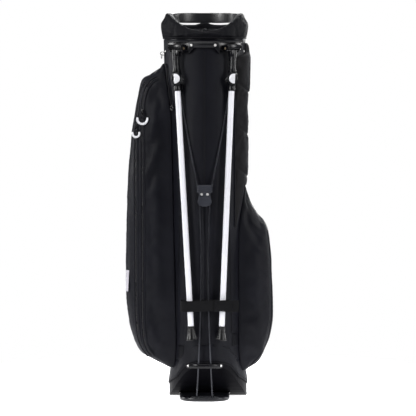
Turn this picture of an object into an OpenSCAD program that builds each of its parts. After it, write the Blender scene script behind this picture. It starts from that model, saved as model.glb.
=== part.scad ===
// Golf stand bag: a soft-sided oval tube with a padded cuff, two folding
// legs on a hinge bracket, spring rods down to a rocking foot plate, side
// pockets with zips, a hip pad and a carrying strap.
// Millimetres. +Z is up, the origin is on the tube's axis at the floor, and
// the legs hang on the -Y side.

/* [Tube] */
// Height of the tube's top edge above the floor
tube_top = 820; // [700:5:900]
// Half width of the tube at the floor
base_rx = 86; // [75:1:100]
// Half depth of the tube at the floor
base_ry = 92; // [80:1:105]
// Half width of the tube at the cuff
top_rx = 94; // [80:1:110]
// Half depth of the tube at the cuff
top_ry = 99; // [85:1:115]
// Wall of the tube
tube_wall = 2.5; // [1.5:0.5:5]
// Sideways lean of the soft tube: offset of its foot from its top
tube_lean = 8; // [0:0.5:12]

/* [Cuff] */
// Height of the cuff's side ears
ear_z = 880; // [860:1:900]
// Height of the rim at the front
front_rim_z = 839; // [832:1:860]
// Height of the rim at the back
rear_rim_z = 855; // [840:1:870]
// Height of the lift handle's band
handle_h = 24; // [15:1:35]

/* [Legs] */
// Diameter of the leg tubes
leg_d = 13; // [10:0.5:20]
// Height of the leg pivots
pivot_z = 800; // [780:1:810]
// Sideways distance of each leg pivot from the middle
pivot_x = 62.5; // [55:0.5:70]
// Distance of the leg pivots in front of the tube's axis
pivot_y = 94; // [88:0.5:100]
// Angle by which the pivots are turned outwards
splay = 28; // [15:1:40]
// Length of a leg tube below its collar
leg_len = 540; // [450:5:600]

/* [Stand rods] */
// Diameter of the spring rods
rod_d = 3.2; // [2.5:0.1:5]
// Height of the clip that joins the four rods
clip_z = 468; // [400:1:520]

/* [Pockets] */
// Largest reach of the garment pocket from the axis
garment_out = 181; // [150:1:200]
// Largest reach of the side pocket from the axis
side_out = 160; // [130:1:180]
// Largest reach of the ball pocket from the axis
ball_out = 146; // [120:1:165]

/* [Node choice] */
// Sub-part to draw

/* [Hidden] */
$fn = 64;

// tube outline: half width and half depth at a height, grown by g
function rx(z, g = 0) = base_rx + (top_rx - base_rx) * z / tube_top + g;
function ry(z, g = 0) = base_ry + (top_ry - base_ry) * z / tube_top + g;
// sideways place of the tube's axis
function cx(z) = tube_lean * (1 - z / tube_top);
// depth of the tube's front face at a sideways place
function front_y(x, z, g = 0) =
    -ry(z, g) * sqrt(max(0, 1 - pow(x / rx(z, g), 2)));

fabric = [0.10, 0.10, 0.13];
mesh_black = [0.08, 0.08, 0.10];
moulded = [0.13, 0.13, 0.15];
slate = [0.30, 0.31, 0.35];
steel = [0.62, 0.63, 0.66];
brass = [0.70, 0.58, 0.36];
white = [0.94, 0.94, 0.96];
strap_black = [0.07, 0.07, 0.08];

// solid skinned over a list of rings, all with the same number of points
module skin(rings, loop = false) {
    n = len(rings[0]);
    m = len(rings);
    pts = [for (r = rings) for (p = r) p];
    last = loop ? m - 1 : m - 2;
    sides = [for (i = [0:last]) for (j = [0:n - 1])
        let (a = i * n + j, b = i * n + (j + 1) % n,
             c = ((i + 1) % m) * n + (j + 1) % n, d = ((i + 1) % m) * n + j)
        each [[a, d, c], [a, c, b]]];
    // each end is closed by a strip that zigzags between its two halves
    h = floor(n / 2) - 1;
    z = (m - 1) * n;
    caps = loop ? [] : [for (j = [0:h]) let (e = n - 1 - j) each concat(
        j + 1 < e ? [[j, j + 1, e], [z + e, z + j + 1, z + j]] : [],
        j + 1 < e - 1 ? [[j + 1, e - 1, e], [z + e, z + e - 1, z + j + 1]]
                      : [])];
    polyhedron(points = pts, faces = concat(sides, caps), convexity = 8);
}

// oval frustum following the tube's outline, grown by g
module oval(g, z0, z1, n = 72) {
    skin([for (z = [z0, z1])
        [for (k = [0:n - 1]) [cx(z) + rx(z, g) * cos(k * 360 / n),
                              ry(z, g) * sin(k * 360 / n), z]]]);
}

// rod of radius r through points that run upwards
module rod_path(pts, r, n = 10) {
    skin([for (p = pts)
        [for (k = [0:n - 1]) [p[0] + r * cos(k * 360 / n),
                              p[1] + r * sin(k * 360 / n), p[2]]]]);
}

// ---------------------------------------------------------------- base
// arched space under the front of the boot, as a profile along Y
module under_arch(grow = 0) {
    offset(delta = grow) polygon([[-150, -30], [-150, 72], [-87, 72],
        [-80, 62.7], [-70, 48], [-60, 35.3], [-50, 24.5], [-40, 15.7],
        [-30, 8.8], [-20, 4], [-8.6, 0.9], [-8.6, -30]]);
}
// lower edge of the soft tube, which rises over the boot's sloping floor
function foot_z(y) = max(29.6, 26 - 1.18 * (46 + y),
    min(77.5, 55 - 1.5 * (y + 70)));
module along_x(w) {
    rotate([90, 0, 90]) linear_extrude(height = w, center = true) children();
}

module base_boot() {
    color(moulded) difference() {
        intersection() {
            oval(3.5, 0, 92);
            // top edge rises towards the front
            along_x(240)
                polygon([[-130, 0], [130, 0], [130, 29], [40, 29],
                         [-20, 33], [-60, 52], [-80, 81], [-94, 90],
                         [-130, 90]]);
        }
        // inside, above a sloping floor
        difference() {
            oval(0.3, 24, 100);
            along_x(240) under_arch(3.2);
        }
        // hollow between the ribs under the floor
        for (sx = [-1, 1])
            intersection() {
                oval(-4, -1, 20);
                translate([sx > 0 ? 18 : -118, 42, -1]) cube([100, 60, 21]);
            }
        along_x(240) under_arch();
        // space in which the foot plate rocks
        along_x(117)
            polygon([[-130, -1], [-130, 22], [-90, 18.5], [-15, 12.2],
                     [-8.6, 12.2], [-8.6, -1]]);
        translate([-65, -15, 6.5]) rotate([0, 90, 0])
            cylinder(r = 2.02, h = 130);
    }
}

module base_floor_pad() {
    color(fabric) difference() {
        oval(-3.2, 24.3, 29.3);
        for (sx = [-1, 1])
            translate([sx * 35 + cx(26), 76.5, 20]) cylinder(r = 3, h = 20);
        along_x(240)
            polygon([[-150, 20], [-150, 40], [-53, 34], [-43, 23], [-43, 20]]);
    }
}

module foot_hinge_pin() {
    color(steel) translate([-63, -15, 6.5]) rotate([0, 90, 0])
        cylinder(r = 2, h = 126);
}

module rod_keeper() {
    color(moulded) difference() {
        translate([0, 0, 75]) linear_extrude(height = 11) difference() {
            polygon([for (k = [-11:11]) let (x = k * 3.6)
                [x, -117.5 + 17 * pow(abs(x) / 40, 2.4)],
                [40, -80], [-40, -80]]);
            polygon([for (k = [-11:11]) let (x = k * 3)
                [x, -113.5 + 15 * pow(abs(x) / 33, 2.6)],
                [33, -75], [-33, -75]]);
        }
        oval(3.8, 40, 120);
    }
}

module keeper_rivets() {
    color(brass) for (s = [-1, 1])
        translate([s * 36.6, -103.4, 80.5]) rotate([90, 0, 0])
            cylinder(r1 = 3, r2 = 2, h = 1.6, $fn = 24);
}

module foot_plate() {
    color(moulded) difference() {
        union() {
            linear_extrude(height = 9.6)
                intersection() {
                    polygon([for (k = [0:24]) let (t = 180 + k * 7.5)
                        [57 * (cos(t) < 0 ? -1 : 1) *
                            pow(abs(cos(t)), 0.7),
                         -82 - 40 * pow(abs(sin(t)), 0.8)],
                        [57, -9.2], [-57, -9.2]]);
                    translate([-60, -130]) square([120, 130]);
                }
            for (k = [0:3]) translate([-34, -117.5 + k * 4, 9])
                cube([68, 1.8, 1.4]);
            translate([-57, -15, 6.5]) rotate([0, 90, 0])
                cylinder(r = 4.6, h = 114);
        }
        translate([-65, -15, 6.5]) rotate([0, 90, 0])
            cylinder(r = 2.06, h = 130);
        // slots for the feet of the rods
        for (s = [-1, 1]) translate([s * 18 - 3.4, -130, -1])
            cube([6.8, 24.5, 16]);
        translate([-30, -112, 5]) rotate([0, 90, 0])
            cylinder(r = 1.5, h = 60, $fn = 32);
    }
}

module foot_rod_pin() {
    color(steel) translate([-29.9, -112, 5]) rotate([0, 90, 0])
        cylinder(r = 1.5, h = 59.8, $fn = 32);
}

// ---------------------------------------------------------------- tube
module tube_body(g, drop, top, n = 72) {
    skin([[for (k = [0:n - 1]) let (y = ry(30, g) * sin(k * 360 / n),
              z = foot_z(y) - drop)
              [cx(z) + rx(z, g) * cos(k * 360 / n),
               ry(z, g) * sin(k * 360 / n), z]],
          [for (k = [0:n - 1])
              [cx(top) + rx(top, g) * cos(k * 360 / n),
               ry(top, g) * sin(k * 360 / n), top]]]);
}
module tube_shell() {
    color(fabric) difference() {
        tube_body(0, 0, tube_top);
        tube_body(-tube_wall, 9, tube_top + 10);
    }
}

module top_collar() {
    color(moulded) difference() {
        oval(-tube_wall - 0.3, 796, 828.6);
        oval(-tube_wall - 4, 790, 840);
    }
}

function rim(t) = ear_z * pow(cos(t), 2) +
    (sin(t) < 0 ? front_rim_z : rear_rim_z) * pow(sin(t), 2);
function cuff_ring(t) = let (z = rim(t), c = pow(cos(t), 2),
    a = top_rx, b = top_ry,
    q = [[-2.4, 820.4], [-2.4, 829], [-9, 829.2],
         [-9 - 15 * c, max(830, z - 34 * c - 9 * (1 - c))],
         [-8.6 - 22 * c, z - 3 - 19 * c], [-6.5 - 15.5 * c, z - 0.6 - 4.4 * c],
         [-1.5 - 10 * c, z], [3.5 - 8.5 * c, z - 4.5 + 1.5 * c],
         [6.2 - 3.5 * c, max(834, z - 14 + 3 * c)],
         [6.5, max(829, z - 29)], [4.5, 825], [1.5, 820.4]])
    [for (p = q) [(a + p[0]) * cos(t), (b + p[0]) * sin(t), p[1]]];

module cuff_padding() {
    color(mesh_black) skin([for (k = [0:59]) cuff_ring(k * 6)], loop = true);
}

module divider_top() {
    color(mesh_black) {
        translate([-6, -87, 829.3]) cube([12, 174, 15]);
        for (s = [0, 180]) rotate([0, 0, s])
            translate([6, -6, 829.3]) cube([65, 12, 15]);
    }
}
module divider_panel_x() {
    color(fabric) skin([for (z = [30, 829]) [for (p = [[-81.5, -1],
        [81.5, -1], [81.5, 1], [-81.5, 1]]) [p[0] + cx(z), p[1], z]]]);
}
module divider_panel_y() {
    color(fabric) {
        translate([-1, 1.3, 30]) cube([2, 85.7, 799]);
        along_x(2) polygon([[-1.3, 30], [-1.3, 829], [-87, 829],
                            [-87, foot_z(-87) + 2], [-47, 30]]);
    }
}
module stay_rods() {
    color(steel) for (s = [-1, 1])
        rod_path([for (z = [24.3, 794.3]) [s * 35 + cx(z), 76.5, z]],
                 2.5, 20);
}

// outline of the lift handle's band in plan, from ear to ear
function grip_line(t) = [80 * cos(t), 56 + 80 * pow(sin(t), 0.7)];
module lift_handle() {
    color(strap_black) translate([0, 0, 883 - handle_h])
        linear_extrude(height = handle_h)
            polygon([for (k = [0:28]) grip_line(k * 180 / 28),
                     for (k = [28:-1:0]) let (g = grip_line(k * 180 / 28),
                             t = atan2(g[1] - 40, g[0]))
                         g - 5 * [cos(t), sin(t)]]);
}

// ------------------------------------------------------- hinge bracket
// local frame of one leg pivot: X outwards along the pin, Y backwards
module at_pivot(s) {
    translate([s * pivot_x, -pivot_y, pivot_z])
        mirror([s < 0 ? 1 : 0, 0, 0]) rotate([0, 0, splay]) children();
}

module hinge_bracket() {
    color(moulded) difference() {
        union() {
            // band that follows the tube
            difference() {
                intersection() {
                    oval(4.5, 795, 814);
                    translate([-86, -130, 780]) cube([172, 84, 60]);
                }
                oval(0.4, 780, 830);
            }
            // proud centre plate with two tapering tabs
            difference() {
                intersection() {
                    oval(9, 780, 816);
                    translate([0, -130, 0]) rotate([-90, 0, 0])
                        linear_extrude(height = 80)
                            polygon([[-37, -815], [35, -815], [35, -788],
                                     [33, -788], [22, -801], [-24, -801],
                                     [-35, -788], [-37, -788]]);
                }
                oval(0.4, 775, 830);
            }
            for (s = [-1, 1]) at_pivot(s) {
                // two ears on each side of the yoke
                for (a = [-17.4, 12.6]) translate([a, 0, 0]) {
                    rotate([0, 90, 0]) cylinder(r = 8.5, h = 4.8);
                    translate([0, 0, -6]) cube([4.8, 30, 14]);
                }
                // bar in front of the yoke
                translate([-17.4, -13, -1]) cube([34.8, 3, 9.5]);
                for (a = [-17.4, 12.6]) translate([a, -13, -1])
                    cube([4.8, 12, 8]);
            }
        }
        oval(0.4, 770, 830);
        for (s = [-1, 1]) at_pivot(s)
            translate([-20, 0, 0]) rotate([0, 90, 0])
                cylinder(r = 2.52, h = 40);
    }
}

module leg_pins() {
    color(steel) for (s = [-1, 1]) at_pivot(s)
        translate([-18.6, 0, 0]) rotate([0, 90, 0])
            cylinder(r = 2.5, h = 37.2);
}

module stud(x, z, g, r = 3) {
    // rivet head lying on the tube's outline grown by g
    n = [x / pow(rx(z, g), 2), front_y(x, z, g) / pow(ry(z, g), 2)];
    translate([x, front_y(x, z, g), z])
        rotate([0, 0, atan2(n[1], n[0])]) rotate([0, 90, 0])
            rotate_extrude($fn = 24)
                polygon([[0, 0.1], [r, 0.1], [r * 0.85, r * 0.35],
                         [r * 0.45, r * 0.55], [0, r * 0.6]]);
}

module bracket_rivets() {
    color(steel) {
        stud(-29.6, 807, 9, 3.2);
        stud(24, 807, 9, 3.2);
        stud(-89.5, 793, 0.2, 2.4);
        stud(89.5, 793, 0.2, 2.4);
    }
}

// ---------------------------------------------------------------- legs
module on_leg(s) {
    translate([s * 60.8, -94.6, 704]) rotate([-1.34, s * 2.78 - 0.44, 0])
        children();
}

module leg_yoke(s) {
    color(moulded) difference() {
        union() {
            at_pivot(s) {
                translate([-12.2, 0, 0]) rotate([0, 90, 0])
                    cylinder(r = 8, h = 24.4);
                translate([-8, -7.5, -20]) cube([16, 15, 18]);
            }
            on_leg(s) {
                translate([0, 0, 42]) cylinder(r = 8.6, h = 42);
                translate([0, 0, 41]) cylinder(r = 10, h = 5);
                translate([0, 0, 18]) cylinder(r = 11, h = 24);
                translate([0, 0, 0]) cylinder(r = 8.6, h = 19);
                translate([0, 0, 28]) rotate([90, 0, 0])
                    cylinder(r = 12.4, h = 11.6);
                // boss for the screw on the inner side
                translate([0, -3, 24]) rotate([0, -s * 90, 0])
                    cylinder(r = 4.6, h = 15.5);
            }
            // two cheeks that hold the top of the rod
            at_pivot(s) for (a = [-5.8, 7.3])
                translate([a, 7.4, -100]) cube([2.4, 7.4, 20]);
            at_pivot(s) translate([-5.8, 7.2, -100]) cube([15.5, 2.2, 20]);
        }
        at_pivot(s) translate([-20, 0, 0]) rotate([0, 90, 0])
            cylinder(r = 2.56, h = 40);
        on_leg(s) translate([0, 0, -1]) cylinder(r = leg_d / 2 + 0.02, h = 21);
        on_leg(s) translate([0, -3, 24]) rotate([0, -s * 90, 0])
            translate([0, 0, 14.6]) cube([1, 5, 3], center = true);
    }
}
module leg_tube(s) {
    color(white) on_leg(s) translate([0, 0, -leg_len]) difference() {
        cylinder(r = leg_d / 2, h = leg_len + 19.5);
        translate([0, 0, -1]) cylinder(r = leg_d / 2 - 1.4, h = leg_len + 30);
    }
}
module leg_cap(s) {
    color(white) on_leg(s) translate([s * 4, -11.7, 28])
        intersection() {
            rotate([90, 0, 0]) cylinder(r1 = 11, r2 = 9, h = 3.6, $fn = 48);
            translate([s > 0 ? -20 : -3, -20, -20]) cube([23, 40, 40]);
        }
}
module leg_foot(s) {
    color([0.10, 0.10, 0.11]) on_leg(s) difference() {
        union() {
            translate([0, 0, -566]) cylinder(r1 = 12.5, r2 = 8.3, h = 22);
            translate([0, 0, -545]) cylinder(r = 8.3, h = 12);
        }
        translate([0, 0, -leg_len - 0.3])
            cylinder(r = leg_d / 2 + 0.02, h = 40);
        translate([0, 0, -566]) rotate([0, s * 18, 0])
            translate([-30, -30, -12]) cube([60, 60, 12]);
    }
}
module leg_yoke_left() { leg_yoke(-1); }
module leg_yoke_right() { leg_yoke(1); }
module leg_tube_left() { leg_tube(-1); }
module leg_tube_right() { leg_tube(1); }
module leg_cap_left() { leg_cap(-1); }
module leg_cap_right() { leg_cap(1); }
module leg_foot_left() { leg_foot(-1); }
module leg_foot_right() { leg_foot(1); }

// ---------------------------------------------------------------- rods
function rod_x(z) = z < 310 ? 7.8 + 10.2 * pow((310 - z) / 305, 1.7)
                            : 7.8 + 5.2 * pow((z - 310) / 172, 1.5);
function rod_y(z) = -106 - 6 * pow(max(0, (90 - z) / 85), 2);

module rod_lower(s) {
    color(steel) difference() {
        union() {
            rod_path([for (k = [0:26]) let (z = 5 + k * 17.4)
                [s * rod_x(z), rod_y(z), z]], rod_d / 2, 10);
            translate([s * 18 - 2.6, -112, 5]) rotate([0, 90, 0])
                cylinder(r = 3.6, h = 5.2, $fn = 32);
        }
        translate([s * 18 - 6, -112, 5]) rotate([0, 90, 0])
            cylinder(r = 1.56, h = 12, $fn = 32);
    }
}
module rod_lower_left() { rod_lower(-1); }
module rod_lower_right() { rod_lower(1); }

module rod_clip() {
    color(slate) difference() {
        union() {
            translate([0, -101.6, 482]) rotate([90, 0, 0])
                linear_extrude(height = 10) offset(3) offset(-3)
                    square([36, 20], center = true);
            translate([0, -101.6, 466]) rotate([90, 0, 0])
                linear_extrude(height = 9) square([27, 16], center = true);
            translate([0, -101.6, 454]) rotate([90, 0, 0])
                linear_extrude(height = 9) scale([16, 11]) circle(r = 1);
            for (k = [0:2]) translate([-15, -112.4, 475.5 + k * 5])
                cube([30, 1.4, 2]);
        }
        // channels for the rods, and hinge slots for the upper pair
        for (s = [-1, 1]) {
            rod_path([for (k = [0:5]) let (z = 440 + k * 6.6)
                [s * rod_x(z), -106, z]], rod_d / 2 + 0.05, 10);
            translate([s * 17.6 - 7.4, -109, 472.6]) cube([14.8, 30, 30]);
        }
    }
}
module clip_rivets() {
    color(steel) for (s = [-1, 1])
        translate([s * 6.6, -112.2, 471]) rotate([90, 0, 0])
            cylinder(r1 = 3, r2 = 2.2, h = 1.5, $fn = 24);
}

module rod_upper(s) {
    // hooked foot beside the clip, straight shaft, ball at the leg
    a = [s * 14.8, -106, 478];
    b = [s * 58.5, -81, 710];
    color(steel) {
        skin([for (k = [0:10]) let (p = a + (b - a) * k / 10)
            [for (j = [0:9]) [p[0] + rod_d / 2 * cos(j * 36),
                              p[1] + rod_d / 2 * sin(j * 36), p[2]]]]);
        translate(b) sphere(r = 2.6, $fn = 24);
        translate(a) sphere(r = 2.4, $fn = 24);
    }
}
module rod_upper_left() { rod_upper(-1); }
module rod_upper_right() { rod_upper(1); }

// ------------------------------------------------------------- pockets
// D-shaped ring: a bulge of reach u and half width v on an oval a by b,
// pointing along +X; n points on the bulge and on the inner curve
function d_ring_pts(z, a, b, u, v, c, p = 0.6, n = 20) =
    let (vv = min(v, b * 0.92), f = asin(vv / b), u0 = a * cos(f) + c,
         uu = max(u, a + c + 1.5))
    concat(
        [for (k = [0:n]) let (t = -90 + 180 * k / n)
            [u0 + (uu - u0) * pow(max(0, cos(t)), p),
             vv * (t < 0 ? -1 : 1) * pow(abs(sin(t)), p), z]],
        [for (k = [1:n - 1]) let (q = f - 2 * f * k / n)
            [a * cos(q) + c, b * sin(q), z]]);

// pocket over the heights zs with reach table U and half-width table V;
// side is the sign with which the tube's lean counts, 0 at the back
module pocket(zs, U, V, turn = 0, side = 1) {
    swap = turn == 90;
    rotate([0, 0, turn]) skin([for (z = zs) d_ring_pts(z,
        (swap ? ry(z) : rx(z)) + 0.5, (swap ? rx(z) : ry(z)) + 0.5,
        lookup(z, U), lookup(z, V), side * cx(z))]);
}

garment_zs = [70, 80, 91, 110, 130, 170, 215, 280, 350, 420, 500, 570, 630,
              680, 703, 725, 744, 755, 762];
garment_u = [[70, 97], [80, 118], [91, 136], [110, 154], [130, 167],
             [170, 176], [215, garment_out], [350, garment_out],
             [496, 177], [600, 169], [660, 160], [703, 148], [725, 134],
             [744, 120], [762, 101]];
garment_v = [[70, 44], [91, 52], [130, 56], [630, 56], [665, 52],
             [703, 44], [725, 36], [744, 26], [762, 14]];
module garment_pocket() {
    color(fabric) mirror([1, 0, 0])
        pocket(garment_zs, garment_u, garment_v, side = -1);
}

// zip tape: a straight strip let into a pocket's face
function zip_inner_y(z) = -53 + 0.008 * (z - 400);
function zip_outer_y(z) = -48.2 + 0.012 * (z - 400);
module zip_strip(x, y0, y1, z0, z1, deep) {
    translate([x - 4, 0, 0]) rotate([90, 0, 90]) linear_extrude(height = 8)
        polygon([[y0, z0], [y1, z1], [y1 + deep, z1], [y0 + deep, z0]]);
}
module garment_zip_inner() {
    color(strap_black)
        zip_strip(-141.5, zip_inner_y(130), zip_inner_y(668), 130, 668, 9);
}
module garment_zip_outer() {
    color(strap_black)
        zip_strip(-156.5, zip_outer_y(160), zip_outer_y(630), 160, 630, 9);
}

side_zs = [61, 72, 85, 104, 123, 160, 216, 260, 310, 360, 414, 450, 470,
           482];
side_u = [[61, 104], [85, 132], [123, 152], [170, 158], [216, side_out],
          [310, 156], [414, 139], [450, 125], [482, 103]];
side_v = [[61, 44], [85, 52], [123, 56], [310, 57], [414, 54], [450, 40],
          [482, 18]];
module side_pocket() {
    color(fabric) pocket(side_zs, side_u, side_v);
}
function side_zip_y(z) = 54.6 - 0.004 * (z - 216);
module side_zip() {
    color(strap_black)
        zip_strip(128, side_zip_y(130), side_zip_y(366), 130, 366, -8);
}

ball_zs = [75, 88, 105, 130, 160, 200, 240, 270, 290, 300];
ball_u = [[75, 103], [105, 132], [160, 144], [200, ball_out], [240, 144],
          [290, 124], [300, 108]];
ball_v = [[75, 40], [105, 56], [200, 60], [270, 56], [300, 40]];
module ball_pocket() {
    color(fabric) multmatrix([[1, 0, -tube_lean / tube_top, tube_lean],
                              [0, 1, 0, 0], [0, 0, 1, 0], [0, 0, 0, 1]])
        pocket(ball_zs, ball_u, ball_v, turn = 90, side = 0);
}
module ball_zip() {
    color(strap_black) translate([-42, 132, 135]) cube([8, 11.5, 120]);
}

// padded panel on the right flank, tapering to a point in front
pad_edge = [[393, -42], [414, -38], [450, -28], [484, -16], [500, 44],
            [813, 46]];
module hip_pad() {
    zs = [for (k = [0:4]) 393 + k * 18, for (k = [0:9]) 484 + k * 1.6,
          for (k = [0:15]) 500 + k * 18.6, for (k = [1:10]) 779 + k,
          797, 805, 813];
    color([0.12, 0.11, 0.12]) skin([for (z = zs) let (
        t0 = lookup(z, [[779, -44], [789, -14.5], [813, -12]]),
        under = z > 779 ? 0.55 : 0.4,
        t1 = lookup(z, pad_edge),
        g = lookup(z, [[393, 3], [690, 4.4], [706, 9], [813, 9.4]]) *
            min(1, (t1 - t0) / 40) *
            pow(max(0.02, min(1, (815 - z) / 50)), 0.4))
        concat([for (j = [0:14]) let (t = t0 + (t1 - t0) * j / 14,
                    e = 0.9 + g * pow(max(0, sin(180 * j / 14)), 0.45))
                [cx(z) + rx(z, e) * cos(t), ry(z, e) * sin(t), z]],
               [for (j = [14:-1:0]) let (t = t0 + (t1 - t0) * j / 14)
                [cx(z) + rx(z, under) * cos(t), ry(z, under) * sin(t), z]])]);
}

// -------------------------------------------------- straps and trimmings
module leg_strap() {
    color(strap_black) translate([0, 0, 206]) linear_extrude(height = 25)
        difference() {
            hull() for (s = [-1, 1]) translate([2 + s * 45.5, -107])
                circle(r = 12.2, $fn = 32);
            hull() for (s = [-1, 1]) translate([2 + s * 45.5, -107])
                circle(r = 10, $fn = 32);
        }
}
module leg_strap_tail() {
    color(strap_black) translate([23, -121.7, 205.5]) cube([55, 2.2, 26]);
}
module pocket_label() {
    color(white) translate([0, 0, 252]) linear_extrude(height = 38)
        polygon([[-180.2, -23.5], [-175, -34.5], [-176.2, -35.2],
                 [-181.4, -24]]);
}
module strap_pad() {
    color(fabric) skin([for (k = [0:14]) let (z = 440 + k * 23, f = k / 14,
        y = 112 + 16 * sin(180 * f), w = 26 + 4 * sin(180 * f), h = 8)
        [for (j = [0:15]) let (t = j * 22.5)
            [w * (cos(t) < 0 ? -1 : 1) * pow(abs(cos(t)), 0.5),
             y + h * (sin(t) < 0 ? -1 : 1) * pow(abs(sin(t)), 0.6), z]]]);
}
module strap_webbing() {
    color(strap_black) translate([-15, 0, 0]) rotate([90, 0, 90])
        linear_extrude(height = 30)
            polygon([[104, 762.4], [113, 762.4], [107, 786], [103.4, 786]]);
    color(strap_black) translate([-12.5, 0, 0]) rotate([90, 0, 90])
        linear_extrude(height = 25)
            polygon([[108, 398], [110.5, 398], [113.5, 439.6],
                     [111, 439.6]]);
    color(strap_black) translate([-12.5, 0, 0]) rotate([90, 0, 90])
        linear_extrude(height = 25)
            polygon([[95.4, 322], [97.9, 322], [109.5, 377.6],
                     [107, 377.6]]);
}
module strap_buckle() {
    color(moulded) translate([0, 109, 388]) difference() {
        cube([38, 7, 20], center = true);
        for (s = [-1, 1]) translate([0, 0, s * 5])
            cube([27, 9, 4.6], center = true);
    }
}
module strap_anchor() {
    color(moulded) translate([0, 101.2, 794]) cube([40, 3.6, 16], center = true);
}
module d_ring_loop() {
    color(strap_black) difference() {
        translate([-101.6, -25, 783.6]) cube([9, 10, 12]);
        translate([-98.4, -30, 788]) rotate([-90, 0, 0])
            cylinder(r = 1.56, h = 20);
    }
}
module d_ring() {
    color(steel) translate([-98.4, -20, 788]) {
        rotate([-90, 0, 0]) translate([0, 0, -10]) cylinder(r = 1.5, h = 20);
        intersection() {
            rotate([0, 90, 0]) rotate_extrude($fn = 48)
                translate([10, 0]) circle(r = 1.5, $fn = 16);
            translate([-5, -20, -20]) cube([10, 40, 20]);
        }
    }
}
module umbrella_cord() {
    color(strap_black) rod_path([for (k = [0:8]) let (z = 672 + k * 10,
        t = 216 - k * 1.4)
        [rx(z, 2.6) * cos(t), ry(z, 2.6) * sin(t), z]], 2, 8);
}
module umbrella_snap() {
    color(moulded)
        translate([rx(664, 1) * cos(217), ry(664, 1) * sin(217), 664])
            rotate([0, 0, 217]) rotate([0, 90, 0]) cylinder(r = 7, h = 4);
}
module grip_tabs() {
    color(fabric) {
        translate([6.8, 0, 90]) linear_extrude(height = 32)
            polygon([[-68, -60], [-55, -73.5], [-56.4, -75.4],
                     [-69.8, -61.6]]);
        translate([6.5, 0, 122]) linear_extrude(height = 28)
            polygon([[68, -60.6], [69.6, -62], [57.2, -75], [56, -73.3]]);
    }
}

// ---------------------------------------------- zip sliders and pulls
// slider in its own frame: X across the tape, -Y out of the tape
module slider() {
    color(steel) difference() {
        union() {
            translate([-3.6, -4, -7]) cube([7.2, 3.6, 14]);
            translate([-1.6, -7.4, -2.2]) cube([3.2, 4, 6.4]);
        }
        translate([-5, -5.6, 1.6]) rotate([0, 90, 0])
            cylinder(r = 0.96, h = 10, $fn = 24);
    }
}
// pull in the same frame: cord bail through the slider, U-shaped grip
module pull_cord(w) {
    color(strap_black) {
        translate([-3.6, -5.6, 1.6]) rotate([0, 90, 0])
            cylinder(r = 0.9, h = 7.2, $fn = 24);
        for (s = [-1, 1]) translate([s * 2.9, -5.6, -13.6])
            cylinder(r = 0.78, h = 15.4, $fn = 16);
        translate([-w / 2 + 3, -5.9, -13.4]) rotate([0, 90, 0])
            cylinder(r = 1.2, h = w - 6, $fn = 16);
    }
}
module half_ring(r, h) {
    intersection() {
        union() {
            translate([0, r - h]) circle(r = r, $fn = 40);
            translate([-r, r - h]) square([2 * r, max(0.01, h - r)]);
        }
        translate([-r - 1, -h - 1]) square([2 * r + 2, h + 1.01]);
    }
}
module pull_grip(w, h) {
    color(white) translate([0, -4.2, -9.5]) rotate([90, 0, 0])
        linear_extrude(height = 3.4) difference() {
            half_ring(w / 2, h);
            translate([0, 0.1]) half_ring(w / 2 - 5.4, h - 5.4);
        }
}
module pull(w, h) {
    pull_cord(w);
    pull_grip(w, h);
}
module on_inner() { translate([-141.5, zip_inner_y(655), 655]) children(); }
module on_outer() { translate([-156.5, zip_outer_y(622), 622]) children(); }
module on_side() {
    translate([128, side_zip_y(350), 350]) rotate([0, 0, 180]) children();
}
module on_ball() {
    translate([-38, 143.5, 240]) rotate([0, 0, 180]) children();
}
module zip_slider_inner() { on_inner() slider(); }
module zip_slider_outer() { on_outer() slider(); }
module zip_slider_side() { on_side() slider(); }
module zip_slider_ball() { on_ball() slider(); }
module zip_pull_inner() { on_inner() pull(28, 20); }
module zip_pull_outer() { on_outer() pull(21, 17); }
module zip_pull_side() { on_side() pull(21, 17); }
module zip_pull_ball() { on_ball() pull(21, 17); }

base_boot();
base_floor_pad();
foot_hinge_pin();
rod_keeper();
keeper_rivets();
tube_shell();
top_collar();
cuff_padding();
divider_top();
divider_panel_x();
divider_panel_y();
stay_rods();
lift_handle();
hinge_bracket();
bracket_rivets();
leg_pins();
garment_pocket();
garment_zip_inner();
garment_zip_outer();
side_pocket();
side_zip();
ball_pocket();
ball_zip();
hip_pad();
leg_strap();
leg_strap_tail();
pocket_label();
strap_pad();
strap_webbing();
strap_buckle();
strap_anchor();
d_ring_loop();
d_ring();
umbrella_cord();
umbrella_snap();
grip_tabs();
leg_yoke_left();
leg_tube_left();
leg_cap_left();
leg_foot_left();
leg_yoke_right();
leg_tube_right();
leg_cap_right();
leg_foot_right();
foot_plate();
foot_rod_pin();
rod_lower_left();
rod_lower_right();
rod_clip();
clip_rivets();
rod_upper_left();
rod_upper_right();
zip_slider_inner();
zip_pull_inner();
zip_slider_outer();
zip_pull_outer();
zip_slider_side();
zip_pull_side();
zip_slider_ball();
zip_pull_ball();
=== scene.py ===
from math import (atan2, copysign, cos, degrees, exp, hypot, pi, radians, sin, sqrt, tan)

import bpy
import numpy as np
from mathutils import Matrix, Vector, noise
from mathutils.bvhtree import BVHTree


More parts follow.
